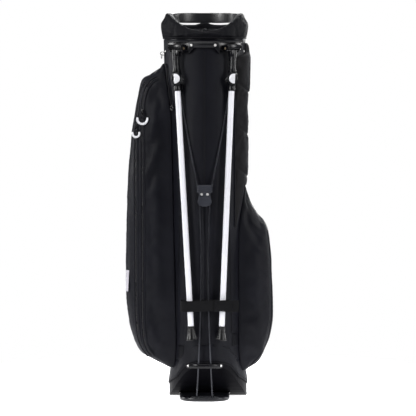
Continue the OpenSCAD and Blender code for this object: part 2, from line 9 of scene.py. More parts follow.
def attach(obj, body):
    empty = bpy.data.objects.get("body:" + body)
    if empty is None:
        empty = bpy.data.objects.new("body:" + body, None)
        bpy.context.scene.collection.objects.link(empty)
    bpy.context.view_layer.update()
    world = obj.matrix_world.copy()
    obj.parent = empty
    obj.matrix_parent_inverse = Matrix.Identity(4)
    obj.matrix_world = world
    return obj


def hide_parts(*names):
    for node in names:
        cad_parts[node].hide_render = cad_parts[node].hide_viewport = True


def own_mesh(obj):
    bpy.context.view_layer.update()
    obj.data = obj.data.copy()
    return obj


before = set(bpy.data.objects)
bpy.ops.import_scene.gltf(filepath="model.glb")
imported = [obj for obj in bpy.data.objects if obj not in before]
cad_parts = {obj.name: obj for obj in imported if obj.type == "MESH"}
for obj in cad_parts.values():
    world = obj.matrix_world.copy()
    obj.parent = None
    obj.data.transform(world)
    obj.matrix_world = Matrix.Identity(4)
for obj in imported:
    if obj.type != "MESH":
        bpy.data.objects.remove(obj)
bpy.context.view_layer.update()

# ---- helpers
MM = 0.001
TUBE_TOP = 820.0
PIVOT = (62.5, -94.0, 800.0)
SPLAY = radians(28)


def cx(z):
    return 8 * (1 - z / TUBE_TOP)


def rx(z, g=0.0):
    return 86 + 8 * z / TUBE_TOP + g


def ry(z, g=0.0):
    return 92 + 7 * z / TUBE_TOP + g


def on_tube(deg, z, g=0.0):
    t = radians(deg)
    return (cx(z) + rx(z, g) * cos(t), ry(z, g) * sin(t), z)


def outward(deg):
    return Vector((cos(radians(deg)), sin(radians(deg)), 0))


def tube_pair(deg, z, g):
    """Point and outward direction, for strips laid on the tube."""
    return Vector(on_tube(deg, z, g)), outward(deg)


def front_y(x, z, g=0.0):
    return -ry(z, g) * sqrt(max(0.0, 1 - ((x - cx(z)) / rx(z, g)) ** 2))


def ease(a, b, x):
    t = min(1.0, max(0.0, (x - a) / (b - a)))
    return t * t * (3 - 2 * t)


def lerp_table(table, x):
    return float(np.interp(x, [r[0] for r in table], [r[1] for r in table]))


def bump(x, centre, width):
    return exp(-(((x - centre) / width) ** 2))


def make(name, verts, faces, mat, body="bag", slot=None, replaces=()):
    me = bpy.data.meshes.new(name)
    me.from_pydata([tuple(c * MM for c in v) for v in verts], [], faces)
    me.validate()
    me.update()
    me.shade_smooth()
    ob = bpy.data.objects.new(name, me)
    bpy.context.scene.collection.objects.link(ob)
    if mat:
        me.materials.append(mat)
    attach(ob, body)
    if replaces:
        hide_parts(*replaces)
    return ob


def grid_faces(m, n, close_m=False, close_n=True, caps=False, at=0):
    faces = []
    for i in range(m if close_m else m - 1):
        for j in range(n if close_n else n - 1):
            a, b = at + i * n + j, at + i * n + (j + 1) % n
            c = at + ((i + 1) % m) * n
            faces.append((a, b, c + (j + 1) % n, c + j))
    if caps:
        faces.append(tuple(at + j for j in range(n - 1, -1, -1)))
        faces.append(tuple(at + (m - 1) * n + j for j in range(n)))
    return faces


def surface(name, rows, mat, close_m=False, close_n=True, caps=False, **kw):
    m, n = len(rows), len(rows[0])
    verts = [p for r in rows for p in r]
    return make(name, verts, grid_faces(m, n, close_m, close_n, caps), mat, **kw)


def frames_along(path):
    """Tangent, side and up at every point of a path."""
    pts = [Vector(p) for p in path]
    out, up = [], None
    for i, p in enumerate(pts):
        t = (pts[min(i + 1, len(pts) - 1)] - pts[max(i - 1, 0)]).normalized()
        if up is None:
            up = Vector((0, 0, 1)) if abs(t.z) < 0.9 else Vector((0, -1, 0))
        side = t.cross(up).normalized()
        up = side.cross(t).normalized()
        out.append((p, t, side, up))
    return out


def sweep_rows(path, section, scale=None):
    """Rows of a closed section (side, up) carried along a path."""
    rows = []
    for i, (p, t, side, up) in enumerate(frames_along(path)):
        k = scale(i / (len(path) - 1)) if scale else 1.0
        rows.append([tuple(p + side * (a * k) + up * (b * k)) for a, b in section])
    return rows


def turn(n):
    """Cosine and sine of n even steps round a circle."""
    return [(cos(2 * pi * k / n), sin(2 * pi * k / n)) for k in range(n)]


def power(v, p):
    return copysign(abs(v) ** p, v)


def circle_section(r, n=12):
    return [(r * c, r * s) for c, s in turn(n)]


def rounded_section(w, h, r, n=3):
    """Closed outline of a rounded bar, w wide and h thick."""
    pts = []
    for cx, cy, a0 in ((w / 2 - r, h / 2 - r, 0), (-w / 2 + r, h / 2 - r, 90),
            (-w / 2 + r, -h / 2 + r, 180), (w / 2 - r, -h / 2 + r, 270)):
        for k in range(n + 1):
            a = radians(a0 + 90 * k / n)
            pts.append((cx + r * cos(a), cy + r * sin(a)))
    return pts


def smooth_path(pts, per=6):
    """Catmull-Rom points through the given ones."""
    p = [np.array(q, float) for q in pts]
    p = [2 * p[0] - p[1]] + p + [2 * p[-1] - p[-2]]
    out = []
    for i in range(1, len(p) - 2):
        for k in range(per):
            t = k / per
            out.append(tuple(0.5 * (2 * p[i] + (p[i + 1] - p[i - 1]) * t +
                (2 * p[i - 1] - 5 * p[i] + 4 * p[i + 1] - p[i + 2]) * t * t +
                (3 * p[i] - 3 * p[i + 1] + p[i + 2] - p[i - 1]) * t ** 3)))
    out.append(tuple(p[-2]))
    return out


def subdivide(ob, levels=1):
    m = ob.modifiers.new("subdivision", "SUBSURF")
    m.levels = m.render_levels = levels
    return ob


def join(name, parts, **kw):
    """One mesh out of (verts, faces, material) parts."""
    verts, faces, mats, idx = [], [], [], []
    for v, f, mat in parts:
        base = len(verts)
        verts += [tuple(p) for p in v]
        if mat not in mats:
            mats.append(mat)
        for q in f:
            faces.append(tuple(base + k for k in q))
            idx.append(mats.index(mat))
    ob = make(name, verts, faces, None, **kw)
    for m in mats:
        ob.data.materials.append(m)
    ob.data.polygons.foreach_set("material_index", idx)
    return ob


def rows_part(rows, mat, close_m=False, close_n=True, caps=True):
    m, n = len(rows), len(rows[0])
    return ([p for r in rows for p in r], grid_faces(m, n, close_m, close_n, caps), mat)


def fbm(p, scale, octaves=3, seed=0.0):
    v = Vector((p[0] * scale + seed, p[1] * scale - seed, p[2] * scale + 2 * seed))
    return noise.fractal(v, 0.7, 2.0, octaves)


def cloth(ob, pin, pressure, cap, bending, grow=0.03, gravity=0.3, frames=20, relax=1):
    """Lets a mesh settle as fabric that is a little too large for its seams."""
    me = ob.data
    n = len(me.vertices)
    rest = np.empty(n * 3)
    me.vertices.foreach_get("co", rest)
    rest = rest.reshape(-1, 3)
    group = ob.vertex_groups.new(name="pin")
    for i, w in enumerate(pin):
        if w > 0:
            group.add([i], float(w), "REPLACE")
    mod = ob.modifiers.new("cloth", "CLOTH")
    s = mod.settings
    s.quality, s.mass, s.air_damping, s.vertex_group_mass = 5, 0.25, 2.0, "pin"
    s.tension_stiffness = s.compression_stiffness = 12.0
    s.shear_stiffness, s.bending_stiffness = 6.0, bending
    s.shrink_min = s.shrink_max = -grow
    s.use_pressure, s.uniform_pressure_force = True, pressure
    s.effector_weights.gravity = gravity
    mod.collision_settings.use_collision = False
    mod.point_cache.frame_start, mod.point_cache.frame_end = 1, frames
    scene = bpy.context.scene
    for f in range(1, frames + 1):
        scene.frame_set(f)
    ev = ob.evaluated_get(bpy.context.evaluated_depsgraph_get())
    co = np.empty(n * 3)
    ev.data.vertices.foreach_get("co", co)
    co = co.reshape(-1, 3)
    ob.modifiers.remove(mod)
    scene.frame_set(1)
    if not np.isfinite(co).all():
        return ob
    move = co - rest
    edges = np.empty(len(me.edges) * 2, int)
    me.edges.foreach_get("vertices", edges)
    edges = edges.reshape(-1, 2)
    free = (1 - np.array(pin, float))[:, None]
    for _ in range(relax):
        total, count = np.zeros_like(move), np.zeros((n, 1))
        for a, b in ((0, 1), (1, 0)):
            np.add.at(total, edges[:, a], move[edges[:, b]])
            np.add.at(count, edges[:, a], 1.0)
        move = move * (1 - 0.5 * free) + 0.5 * free * total / np.maximum(count, 1)
    size = np.linalg.norm(move, axis=1)[:, None]
    limit = cap * MM
    move *= np.where(size > limit, limit / np.maximum(size, 1e-9), 1.0)
    me.vertices.foreach_set("co", (rest + move).ravel())
    me.update()
    return ob


# ---- materials
class Look:
    """A Principled material put together from procedural textures."""

    def __init__(self, name):
        self.mat = bpy.data.materials.new(name)
        self.mat.use_nodes = True
        self.tree = self.mat.node_tree
        self.shader = self.tree.nodes["Principled BSDF"]

    def node(self, kind, vector=None, **values):
        nd = self.tree.nodes.new("ShaderNode" + kind)
        for key, value in values.items():
            if key in nd.inputs:
                nd.inputs[key].default_value = value
            else:
                setattr(nd, key, value)
        if vector:
            self.tree.links.new(vector, nd.inputs["Vector"])
        return nd

    def place(self, x=1, y=1, z=1):
        """The piece's own coordinates, scaled."""
        return self.node("Mapping", self.node("TexCoord").outputs["Object"],
            Scale=(x, y, z)).outputs["Vector"]

    def noise(self, scale, detail, vector=None, **values):
        return self.node("TexNoise", vector or self.place(), Scale=scale, Detail=detail,
            **values).outputs["Fac"]

    def cells(self, feature, scale, **values):
        return self.node("TexVoronoi", self.place(), feature=feature, Scale=scale,
            **values).outputs["Distance"]

    def bands(self, direction, pitch, scale=1.0, distortion=0.3):
        k = 2 * pi / (pitch * MM) / 20.0
        return self.node("TexWave", self.place(k, k, k), wave_type="BANDS", bands_direction=direction,
            Scale=scale, Distortion=distortion).outputs["Fac"]

    def sum(self, op, a, b):
        nd = self.node("Math", operation=op)
        for socket, value in zip(nd.inputs, (a, b)):
            if isinstance(value, (int, float)):
                socket.default_value = value
            else:
                self.tree.links.new(value, socket)
        return nd.outputs[0]

    def blend(self, a, ka, b, kb):
        return self.sum("ADD", self.sum("MULTIPLY", a, ka), self.sum("MULTIPLY", b, kb))

    def ramp(self, target, source, low, dark, high, light):
        """Drives a shader input from dark at low to light at high."""
        nd = self.node("ValToRGB")
        for stop, at, value in zip(nd.color_ramp.elements, (low, high), (dark, light)):
            stop.position = at
            stop.color = (*(value if isinstance(value, tuple) else (value,) * 3), 1)
        self.tree.links.new(source, nd.inputs["Fac"])
        self.tree.links.new(nd.outputs["Color"], self.shader.inputs[target])

    def done(self, height=None, strength=0.0, distance=0.0, **values):
        """Sets the constants, named with _ for a space, and the bump."""
        for key, value in values.items():
            self.shader.inputs[key.replace("_", " ")].default_value = value
        if height:
            nd = self.node("Bump", Strength=strength, Distance=distance)
            self.tree.links.new(height, nd.inputs["Height"])
            self.tree.links.new(nd.outputs["Normal"], self.shader.inputs["Normal"])
        return self.mat


def fabric(name, dark, light, pitch=1.1, rough=0.85, sheen=0.25, weave=0.35, spec=0.25):
    """Woven cloth: two crossing sets of threads under a broad mottle."""
    look = Look(name)
    big = look.noise(9.0, 6.0, Roughness=0.6)
    threads = look.sum("MULTIPLY", look.bands("DIAGONAL", pitch), look.bands("Z", pitch))
    look.ramp("Base Color", look.blend(big, 0.75, threads, 0.3), 0.25, dark, 0.72, light)
    look.ramp("Roughness", big, 0.3, rough - 0.08, 0.7, min(1, rough + 0.06))
    return look.done(look.blend(threads, 1.0, look.noise(420.0, 2.0), 0.5), weave, 0.0004,
        Specular_IOR_Level=spec, Sheen_Weight=sheen, Sheen_Roughness=0.45,
        Sheen_Tint=(0.75, 0.78, 1.0, 1))


def spacer_mesh(name, dark, light, pitch=3.2):
    """Thick knitted mesh with rows of small round cells."""
    look = Look(name)
    cells = look.cells("F1", 1000.0 / pitch, Randomness=0.25)
    look.ramp("Base Color", look.blend(cells, 0.8, look.noise(14.0, 4.0), 0.4), 0.25, dark, 0.85, light)
    return look.done(cells, 0.7, 0.0012, Roughness=0.6, Specular_IOR_Level=0.08, Sheen_Weight=0.006,
        Sheen_Roughness=0.4)


def webbing(name, dark, light, pitch=1.6, rough=0.75):
    """Ribbed tape: ribs along its length with a fine cross weave."""
    look = Look(name)
    both = look.blend(look.bands("Z", pitch, 1.0, 0.4), 0.45, look.bands("DIAGONAL", pitch, 1.7, 0.2),
        0.3)
    look.ramp("Base Color", look.blend(both, 1.0, look.noise(40.0, 4.0), 0.4), 0.3, dark, 0.9, light)
    return look.done(both, 0.6, 0.0005, Roughness=rough, Specular_IOR_Level=0.14)


def plastic(name, dark, light, rough=0.4, grain=260.0, depth=0.15, coat=0.0, spec=0.5):
    """Moulded plastic: fine spark grain, slightly uneven gloss, paler edges and painted shade in hollows.
    """
    look = Look(name)
    big = look.noise(22.0, 5.0)
    # curvature mask: paler on convex edges, darker in concave hollows, which is painted shade
    edge = look.sum("SUBTRACT", look.node("NewGeometry").outputs["Pointiness"], 0.5)
    look.ramp("Base Color", look.blend(big, 0.8, edge, 3.0), 0.25, dark, 0.75, light)
    look.ramp("Roughness", big, 0.3, rough - 0.06, 0.7, rough + 0.08)
    return look.done(look.noise(grain * 6, 2.0), depth, 0.0002, Coat_Weight=coat, Coat_Roughness=0.15,
        Specular_IOR_Level=spec)


def metal(name, light, rough=0.2, brushed=0.0, metallic=1.0):
    look = Look(name)
    grain = look.noise(1.0, 4.0, look.place(900, 900, 25) if brushed else look.place(60, 60, 60))
    look.ramp("Base Color", grain, 0.3, tuple(c * 0.75 for c in light), 0.7, light)
    look.ramp("Roughness", grain, 0.3, rough, 0.8, rough + 0.15)
    return look.done(grain, 0.08 + brushed * 0.2, 0.0001, Metallic=metallic)


def leather(name, dark, light, rough=0.32):
    look = Look(name)
    big = look.noise(30.0, 6.0)
    look.ramp("Base Color", big, 0.3, dark, 0.75, light)
    look.ramp("Roughness", big, 0.3, rough, 0.7, rough + 0.15)
    return look.done(look.cells("DISTANCE_TO_EDGE", 700.0), 0.35, 0.0004, Coat_Weight=0.25,
        Coat_Roughness=0.3)


FABRIC = fabric("body_fabric", (0.0022, 0.0023, 0.0040), (0.0058, 0.0061, 0.0098), sheen=0.03, spec=0.12,
    rough=0.5)
FABRIC_DARK = fabric("gusset_fabric", (0.0018, 0.0019, 0.003), (0.0045, 0.0048, 0.007), sheen=0.02,
    spec=0.1, rough=0.65)
PAD_FABRIC = fabric("pad_fabric", (0.0026, 0.0023, 0.0027), (0.0062, 0.0056, 0.0064), pitch=0.9,
    rough=0.75, sheen=0.03, spec=0.1)
LINING = fabric("lining", (0.003, 0.003, 0.004), (0.007, 0.007, 0.009), sheen=0.05)
CUFF_MESH = spacer_mesh("cuff_mesh", (0.0009, 0.0010, 0.0016), (0.0034, 0.0036, 0.0058))
WEBBING = webbing("strap_webbing", (0.0010, 0.0010, 0.0014), (0.0036, 0.0036, 0.0046))
PIPING = webbing("piping", (0.002, 0.002, 0.003), (0.008, 0.008, 0.011), pitch=1.0, rough=0.6)
ZIP_TAPE = webbing("zip_tape", (0.0015, 0.0015, 0.002), (0.005, 0.005, 0.007), pitch=0.9)
BRACKET = plastic("bracket_nylon", (0.005, 0.0053, 0.0068), (0.0125, 0.013, 0.0165), rough=0.3, spec=0.3)
ZIP_TEETH = plastic("zip_teeth", (0.003, 0.003, 0.004), (0.010, 0.010, 0.013), rough=0.3)
BLACK = plastic("black_nylon", (0.0022, 0.0022, 0.003), (0.0065, 0.0068, 0.009), rough=0.24, coat=0.06,
    spec=0.26)
BOOT = plastic("boot_plastic", (0.0014, 0.0014, 0.0021), (0.0036, 0.0036, 0.005), rough=0.42, grain=180.0,
    depth=0.25, spec=0.06)
SLATE = plastic("slate_plastic", (0.016, 0.0175, 0.024), (0.032, 0.034, 0.044), rough=0.5, spec=0.25)
PLATE = plastic("plate_plastic", (0.0035, 0.0037, 0.005), (0.010, 0.0105, 0.014), rough=0.3, spec=0.35)
WHITE = plastic("white_plastic", (0.66, 0.66, 0.69), (0.76, 0.76, 0.79), rough=0.3, coat=0.3)
TUBE_WHITE = plastic("tube_enamel", (0.66, 0.66, 0.705), (0.74, 0.74, 0.785), rough=0.28, depth=0.05,
    coat=0.4)
RUBBER = plastic("foot_rubber", (0.0022, 0.0022, 0.0026), (0.007, 0.007, 0.008), rough=0.34, depth=0.2,
    spec=0.3)
STEEL = metal("rivet_steel", (0.80, 0.79, 0.78), rough=0.24, metallic=0.55)
BRASS = metal("rivet_brass", (0.42, 0.33, 0.22), rough=0.28, metallic=0.6)
ROD = metal("rod_steel", (0.09, 0.093, 0.105), rough=0.25, brushed=0.5)
LEATHER = leather("handle_leather", (0.002, 0.002, 0.003), (0.0065, 0.0065, 0.009), rough=0.26)
FOAM = fabric("floor_foam", (0.01, 0.01, 0.011), (0.03, 0.03, 0.032), pitch=2.0)
# dark strip laid along seams: painted shadow of the seam groove
SEAM_SHADOW = fabric("seam_shadow", (0.002, 0.002, 0.003), (0.005, 0.005, 0.007), sheen=0.05)
THREAD = webbing("thread", (0.004, 0.004, 0.006), (0.012, 0.012, 0.016), pitch=0.4)
LABEL = fabric("label_cloth", (0.36, 0.35, 0.385), (0.45, 0.44, 0.48), pitch=0.7, rough=0.7, sheen=0.0,
    weave=0.2)

# looks of the CAD nodes that stay in view
CAD_LOOKS = {BOOT: "base_boot",
    STEEL: "foot_hinge_pin keeper_rivets bracket_rivets d_ring foot_rod_pin clip_rivets",
    BLACK: "top_collar strap_buckle strap_anchor",
    ROD: "stay_rods rod_lower_left rod_lower_right rod_upper_left rod_upper_right", BRASS: "leg_pins",
    TUBE_WHITE: "leg_tube_left leg_tube_right"}
for look, nodes in CAD_LOOKS.items():
    for node in nodes.split():
        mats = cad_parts[node].data.materials
        mats.clear()
        mats.append(look)
round_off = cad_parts["strap_buckle"].modifiers.new("bevel", "BEVEL")
round_off.width, round_off.segments = 0.7 * MM, 2
round_off.limit_method, round_off.angle_limit = "ANGLE", radians(35)

# ---- studio
scene = bpy.context.scene
scene.view_settings.view_transform, scene.view_settings.look = "Standard", "None"
scene.world = bpy.data.worlds.new("studio")
scene.world.use_nodes = True
sky = scene.world.node_tree
# the camera sees white; the object gets only a weak fill from it
seen, fill = sky.nodes["Background"], sky.nodes.new("ShaderNodeBackground")
for nd, colour, strength in ((seen, (1, 1, 1, 1), 1.0), (fill, (0.93, 0.95, 1.0, 1), 0.1)):
    nd.inputs[0].default_value = colour
    nd.inputs[1].default_value = strength
choice, rays = (sky.nodes.new("ShaderNode" + kind) for kind in ("MixShader", "LightPath"))
for out, into in ((rays.outputs["Is Camera Ray"], choice.inputs[0]), (fill.outputs[0], choice.inputs[1]),
        (seen.outputs[0], choice.inputs[2]),
        (choice.outputs[0], sky.nodes["World Output"].inputs["Surface"])):
    sky.links.new(out, into)

floor_mesh = bpy.data.meshes.new("floor")
floor_mesh.from_pydata([(0.75 * c, 0.75 * s, 0) for c, s in turn(64)], [], [tuple(range(64))])
floor_mesh.materials.append(Look("studio_floor").done(Base_Color=(0.9, 0.9, 0.92, 1), Roughness=0.55,
    Emission_Color=(1, 1, 1, 1), Emission_Strength=0.86, Specular_IOR_Level=0.1))
floor = bpy.data.objects.new("floor", floor_mesh)
scene.collection.objects.link(floor)

LIGHTS = (("key_left", (-1.9, -2.0, 1.5), 0.45, (0.6, 1.8), 62),
    ("key_right", (2.0, -1.7, 1.4), 0.45, (0.5, 1.8), 40), ("top", (0, -0.3, 2.6), 0.4, (1.2, 1.2), 26),
    ("back", (0.5, 2.6, 1.3), 0.45, (1.6, 2.0), 95),
    ("side_left", (-2.8, 0.7, 1.2), 0.45, (0.8, 2.0), 60),
    ("side_right", (2.8, 0.9, 1.2), 0.45, (0.8, 2.0), 50))
for name, place, aim, size, watts in LIGHTS:
    data = bpy.data.lights.new(name, "AREA")
    data.shape, data.energy = "RECTANGLE", watts
    data.size, data.size_y = size
    lamp = bpy.data.objects.new(name, data)
    lamp.location = place
    lamp.rotation_euler = (Vector((0, 0, aim)) - Vector(place)).to_track_quat("-Z", "Y").to_euler()
    scene.collection.objects.link(lamp)

lens = bpy.data.cameras.new("camera")
lens.sensor_width, lens.lens = 36, 206.94
scene.camera = bpy.data.objects.new("camera", lens)
scene.camera.location = (0.0078, -5.5, 0.80)
scene.camera.rotation_euler = (radians(90 - 3.82), 0, 0)
scene.collection.objects.link(scene.camera)

# ---- shapes on the bag
def foot_z(y):
    """Height of the soft tube's lower edge over the boot's sloping floor."""
    return max(29.6, 26 - 1.18 * (46 + y), min(77.5, 55 - 1.5 * (y + 70)))


def table(rows, soft=10.0):
    """Smoothed lookup through rows of (z, value)."""
    z = np.arange(rows[0][0], rows[-1][0] + 1.0)
    v = np.interp(z, [r[0] for r in rows], [r[1] for r in rows])
    k = np.exp(-0.5 * (np.arange(-30, 31) / soft) ** 2)
    k /= k.sum()
    low, high = 2 * v[0] - v[1:31][::-1], 2 * v[-1] - v[-31:-1][::-1]
    v = np.convolve(np.concatenate((low, v, high)), k, "valid")
    return lambda x: float(np.interp(x, z, v))


def folds(rows, x, z):
    """Height of soft folds; a row is (x0, z0, x1, z1, half width, height)."""
    total = 0.0
    for x0, z0, x1, z1, w, h in rows:
        dx, dz = x1 - x0, z1 - z0
        t = ((x - x0) * dx + (z - z0) * dz) / (dx * dx + dz * dz)
        t = min(1.0, max(0.0, t))
        d2 = (x - x0 - t * dx) ** 2 + (z - z0 - t * dz) ** 2
        if d2 < 9 * w * w:
            total += h * exp(-d2 / (w * w)) * (1 - 0.7 * (2 * t - 1) ** 4)
    return total


class Skin:
    """Finds places on a finished surface, in millimetres."""

    def __init__(self, ob):
        me = ob.data
        self.tree = BVHTree.FromPolygons([v.co.copy() for v in me.vertices],
            [tuple(p.vertices) for p in me.polygons])

    def at(self, x, z, back=False):
        s = -1 if back else 1
        hit = self.tree.ray_cast(Vector((x * MM, -0.6 * s, z * MM)), Vector((0, s, 0)))
        if hit[0] is None:
            return None
        n = hit[1] if hit[1].y * s < 0 else -hit[1]
        return Vector(hit[0]) / MM, n

    def path(self, pts, lift=0.0, back=False, soft_over=1):
        out = []
        for x, z in pts:
            hit = self.at(x, z, back)
            if hit:
                out.append((hit[0] + hit[1] * lift, hit[1]))
        n = len(out)
        soft = []
        for i in range(n):
            w = min(soft_over, i, n - 1 - i)
            near = out[i - w:i + w + 1]
            p = sum((q[0] for q in near), Vector()) / len(near)
            m = sum((q[1] for q in near), Vector()).normalized()
            soft.append((p if 0 < i < n - 1 else out[i][0], m))
        return soft


def resample(pts, step):
    """Evenly spaced (point, normal) pairs along a path of such pairs."""
    p = np.array([tuple(q[0]) for q in pts])
    m = np.array([tuple(q[1]) for q in pts])
    d = np.concatenate(([0], np.cumsum(np.linalg.norm(np.diff(p, axis=0), axis=1))))
    s = np.arange(step / 2, d[-1], step)
    pos = np.stack([np.interp(s, d, p[:, k]) for k in range(3)], 1)
    nor = np.stack([np.interp(s, d, m[:, k]) for k in range(3)], 1)
    return [(Vector(a), Vector(b).normalized()) for a, b in zip(pos, nor)]


def strip_rows(pts, section):
    """Rows of a (side, out) section laid along (point, normal) pairs."""
    rows = []
    for i, (p, n) in enumerate(pts):
        t = (pts[min(i + 1, len(pts) - 1)][0] - pts[max(i - 1, 0)][0]).normalized()
        side = t.cross(n).normalized()
        rows.append([tuple(p + side * a + n * b) for a, b in section])
    return rows


def tape(w, th):
    """Section of a flat tape whose long edges are rounded off."""
    return [(-w, -0.4), (-w, 0.35 * th), (-0.82 * w, 0.85 * th), (-0.4 * w, th), (0.4 * w, th),
        (0.82 * w, 0.85 * th), (w, 0.35 * th), (w, -0.4)]


def ribs(pts, pitch, half, length, height, mat, lift=0.0):
    """Row of small rounded blocks across a path: teeth or stitches."""
    verts, faces = [], []
    line = resample(pts, pitch)
    for i, (p, n) in enumerate(line):
        q = line[min(i + 1, len(line) - 1)][0] - line[max(i - 1, 0)][0]
        t = q.normalized()
        side = t.cross(n).normalized()
        base = len(verts)
        for k, (a, b) in enumerate(((1, 0), (0.65, height))):
            for u, v in ((-1, -1), (1, -1), (1, 1), (-1, 1)):
                verts.append(tuple(p + side * (half * u * a) + t * (length / 2 * v * a) + n * (b + lift)))
        faces += [(base + a, base + b, base + 4 + b, base + 4 + a)
            for a, b in ((0, 1), (1, 2), (2, 3), (3, 0))]
        faces += [(base + 3, base + 2, base + 1, base), (base + 4, base + 5, base + 6, base + 7)]
    return verts, faces, mat


def offset_path(pts, side):
    out = []
    for i, (p, n) in enumerate(pts):
        t = (pts[min(i + 1, len(pts) - 1)][0] - pts[max(i - 1, 0)][0]).normalized()
        out.append((p + t.cross(n).normalized() * side, n))
    return out


def stitching(pts, side=0.0, pitch=4.2):
    return ribs(offset_path(pts, side), pitch, 0.32, 3.0, 0.4, THREAD)


def zip_line(name, pts, replaces):
    """Sewn-in zip: tape, coil of teeth, two folded lips and their stitching."""
    parts = [rows_part(strip_rows(pts, tape(4.4, 0.7)), ZIP_TAPE),
        ribs(pts, 1.9, 1.55, 1.2, 0.9, ZIP_TEETH, 0.6)]
    for s in (-1, 1):
        lip = [(2.5 * cos(radians(30 * k)) + s * 4.3, 0.4 + 1.7 * sin(radians(30 * k)))
            for k in range(12)]
        parts += [rows_part(strip_rows(pts, lip), FABRIC), stitching(pts, s * 7.4, 3.6)]
    return join(name, parts, slot="webbing", replaces=replaces)


def cording(pts, r=1.3, n=8):
    return rows_part(strip_rows(pts, [(r * cos(2 * pi * k / n), 0.3 * r + r * sin(2 * pi * k / n))
        for k in range(n)]), PIPING)


def solidify(ob, thick=1.2):
    m = ob.modifiers.new("thickness", "SOLIDIFY")
    m.thickness = thick * MM
    m.offset = -1
    return ob


# ---- tube fabric
PANEL_FOLDS = (
    # sleeve that runs down the middle under the clip
    (-7, 455, -9, 110, 3.2, -1.5), (8, 455, 10, 110, 3.2, -1.5),
    (0.5, 450, 0.5, 100, 4.0, 0.9),
    # slack folds on both sides of it
    (-30, 640, -22, 300, 9, 0.8), (-44, 560, -40, 240, 6, -1.0),
    (30, 620, 26, 280, 9, 0.7), (46, 520, 40, 220, 6, -0.9),
    (-52, 330, -57, 130, 4, 1.0), (-46, 300, -50, 120, 3, -1.1),
    (-64, 240, -69, 120, 3, 1.1), (-60, 230, -62, 130, 2.5, -1.2),
    (56, 300, 60, 110, 4, 0.9), (50, 280, 52, 120, 3, -1.0),
    (-20, 130, -34, 95, 6, 0.6), (22, 150, 36, 100, 6, 0.6))
tube_angles = ([3.0 * k for k in range(84)] + [252 + 0.75 * k for k in range(48)] + [288 + 3.0 * k
    for k in range(24)])


def tube_height(x, y, z, deg):
    calm = ease(40, 90, z) * (1 - ease(740, 782, z))
    d = 0.7 * fbm((x, y, z * 0.35), 0.018, 3, 4.0)
    if y < 0:
        d += folds(PANEL_FOLDS, x, z)
    side = min(abs(deg - 270) / 70, 1) ** 4
    d -= 0.5 * side
    return max(-1.4, min(1.2 * (1 - side) + 0.1, d * calm))


def tube_row(s, inside=False):
    """One ring of the tube's outer or inner face, from its foot (0) to its top (1)."""
    row = []
    for deg in tube_angles:
        low = foot_z(ry(30) * sin(radians(deg)))
        z = low + (TUBE_TOP - low) * s
        row.append(on_tube(deg, z, -2.4 if inside else tube_height(*on_tube(deg, z), deg)))
    return row


rows = [tube_row(i / 121) for i in range(122)] + [tube_row(1 - i / 12, True) for i in range(13)]
tube = surface("tube_fabric", rows, FABRIC, close_m=True, slot="body_fabric", replaces=("tube_shell",))
tube_skin = Skin(tube)


def straight(x0, z0, x1, z1, step=5.0):
    n = max(2, int(hypot(x1 - x0, z1 - z0) / step))
    return [(x0 + (x1 - x0) * k / n, z0 + (z1 - z0) * k / n) for k in range(n + 1)]


seam = tube_skin.path(straight(-0.6, 793, -0.6, 488), 0.05)
# dark strip down the centre seam is painted seam shadow
parts = [rows_part(strip_rows(seam, tape(0.8, 0.5)), SEAM_SHADOW), stitching(seam, 2.6), stitching(seam, -2.6)]
for ends in ((-56, 420, -66, 132), (57, 384, 62, 152)):
    low_seam = tube_skin.path(straight(*ends), 0.05)
    parts += [rows_part(strip_rows(low_seam, tape(1.1, 0.7)), FABRIC_DARK), stitching(low_seam, 3.0)]
join("panel_seams", parts, slot="body_fabric")

# ---- pockets
def pocket_ring(z, reach, half, sx, n):
    """Front, outer side and back of a D-shaped pocket at one height."""
    a, b = rx(z, 0.5), ry(z, 0.5)
    v, c = min(half, b * 0.92), sx * cx(z)
    u0 = a * sqrt(1 - (v / b) ** 2) + c
    u = max(reach, a + c + 1.2)
    row = []
    for k in range(n + 1):
        t = radians(-90 + 180 * k / n)
        # even steps round the corner of the section
        t += 0.22 * sin(2 * t) * -1
        row.append((sx * (u0 + (u - u0) * max(0.0, cos(t)) ** 0.62), v * copysign(abs(sin(t)) ** 0.62, t),
            z))
    return row


def pocket_pins(ob, m, n, near, far, axis=0):
    """Pinned border, loose cloth by the tube, and panels held by the zips."""
    pins = []
    for q, v in enumerate(ob.data.vertices):
        i, j = divmod(q, n)
        w = 0.04 + 0.86 * ease(near, far, abs(v.co[axis]) / MM)
        pins.append(1.0 if min(i, m - 1 - i) < 2 or min(j, n - 1 - j) < 2 else w)
    return pins


def pocket(name, z0, z1, step, reach, half, sx, fold_rows, seed, n, held, replaces):
    """Sewn pocket round one side of the tube, settled as cloth."""
    m = int((z1 - z0) / step)
    rows = []
    for i in range(m + 1):
        z = z0 + (z1 - z0) * i / m
        edge = ease(0, 30, z - z0) * (1 - ease(-30, 0, z - z1))
        row = []
        for k, (x, y, zz) in enumerate(pocket_ring(z, reach(z), half(z), sx, n)):
            across = sin(pi * k / n)
            d = 1.6 * fbm((x, y, z * 0.5), 0.02, 3, seed) * edge * across
            if y < 0:
                d += folds(fold_rows, x, z) * min(1, across * 2.5)
            side = ease(reach(z) - 22, reach(z), abs(x))
            row.append((x + sx * d * side, y + (-1 if y < 0 else 1) * d * (1 - side), zz))
        rows.append(row)
    ob = surface(name, rows, FABRIC, close_n=False, slot="body_fabric", replaces=replaces)
    cloth(ob, pocket_pins(ob, m + 1, n + 1, *held), 0.4, 5.0, 1.5, relax=3)
    return ob, Skin(ob)


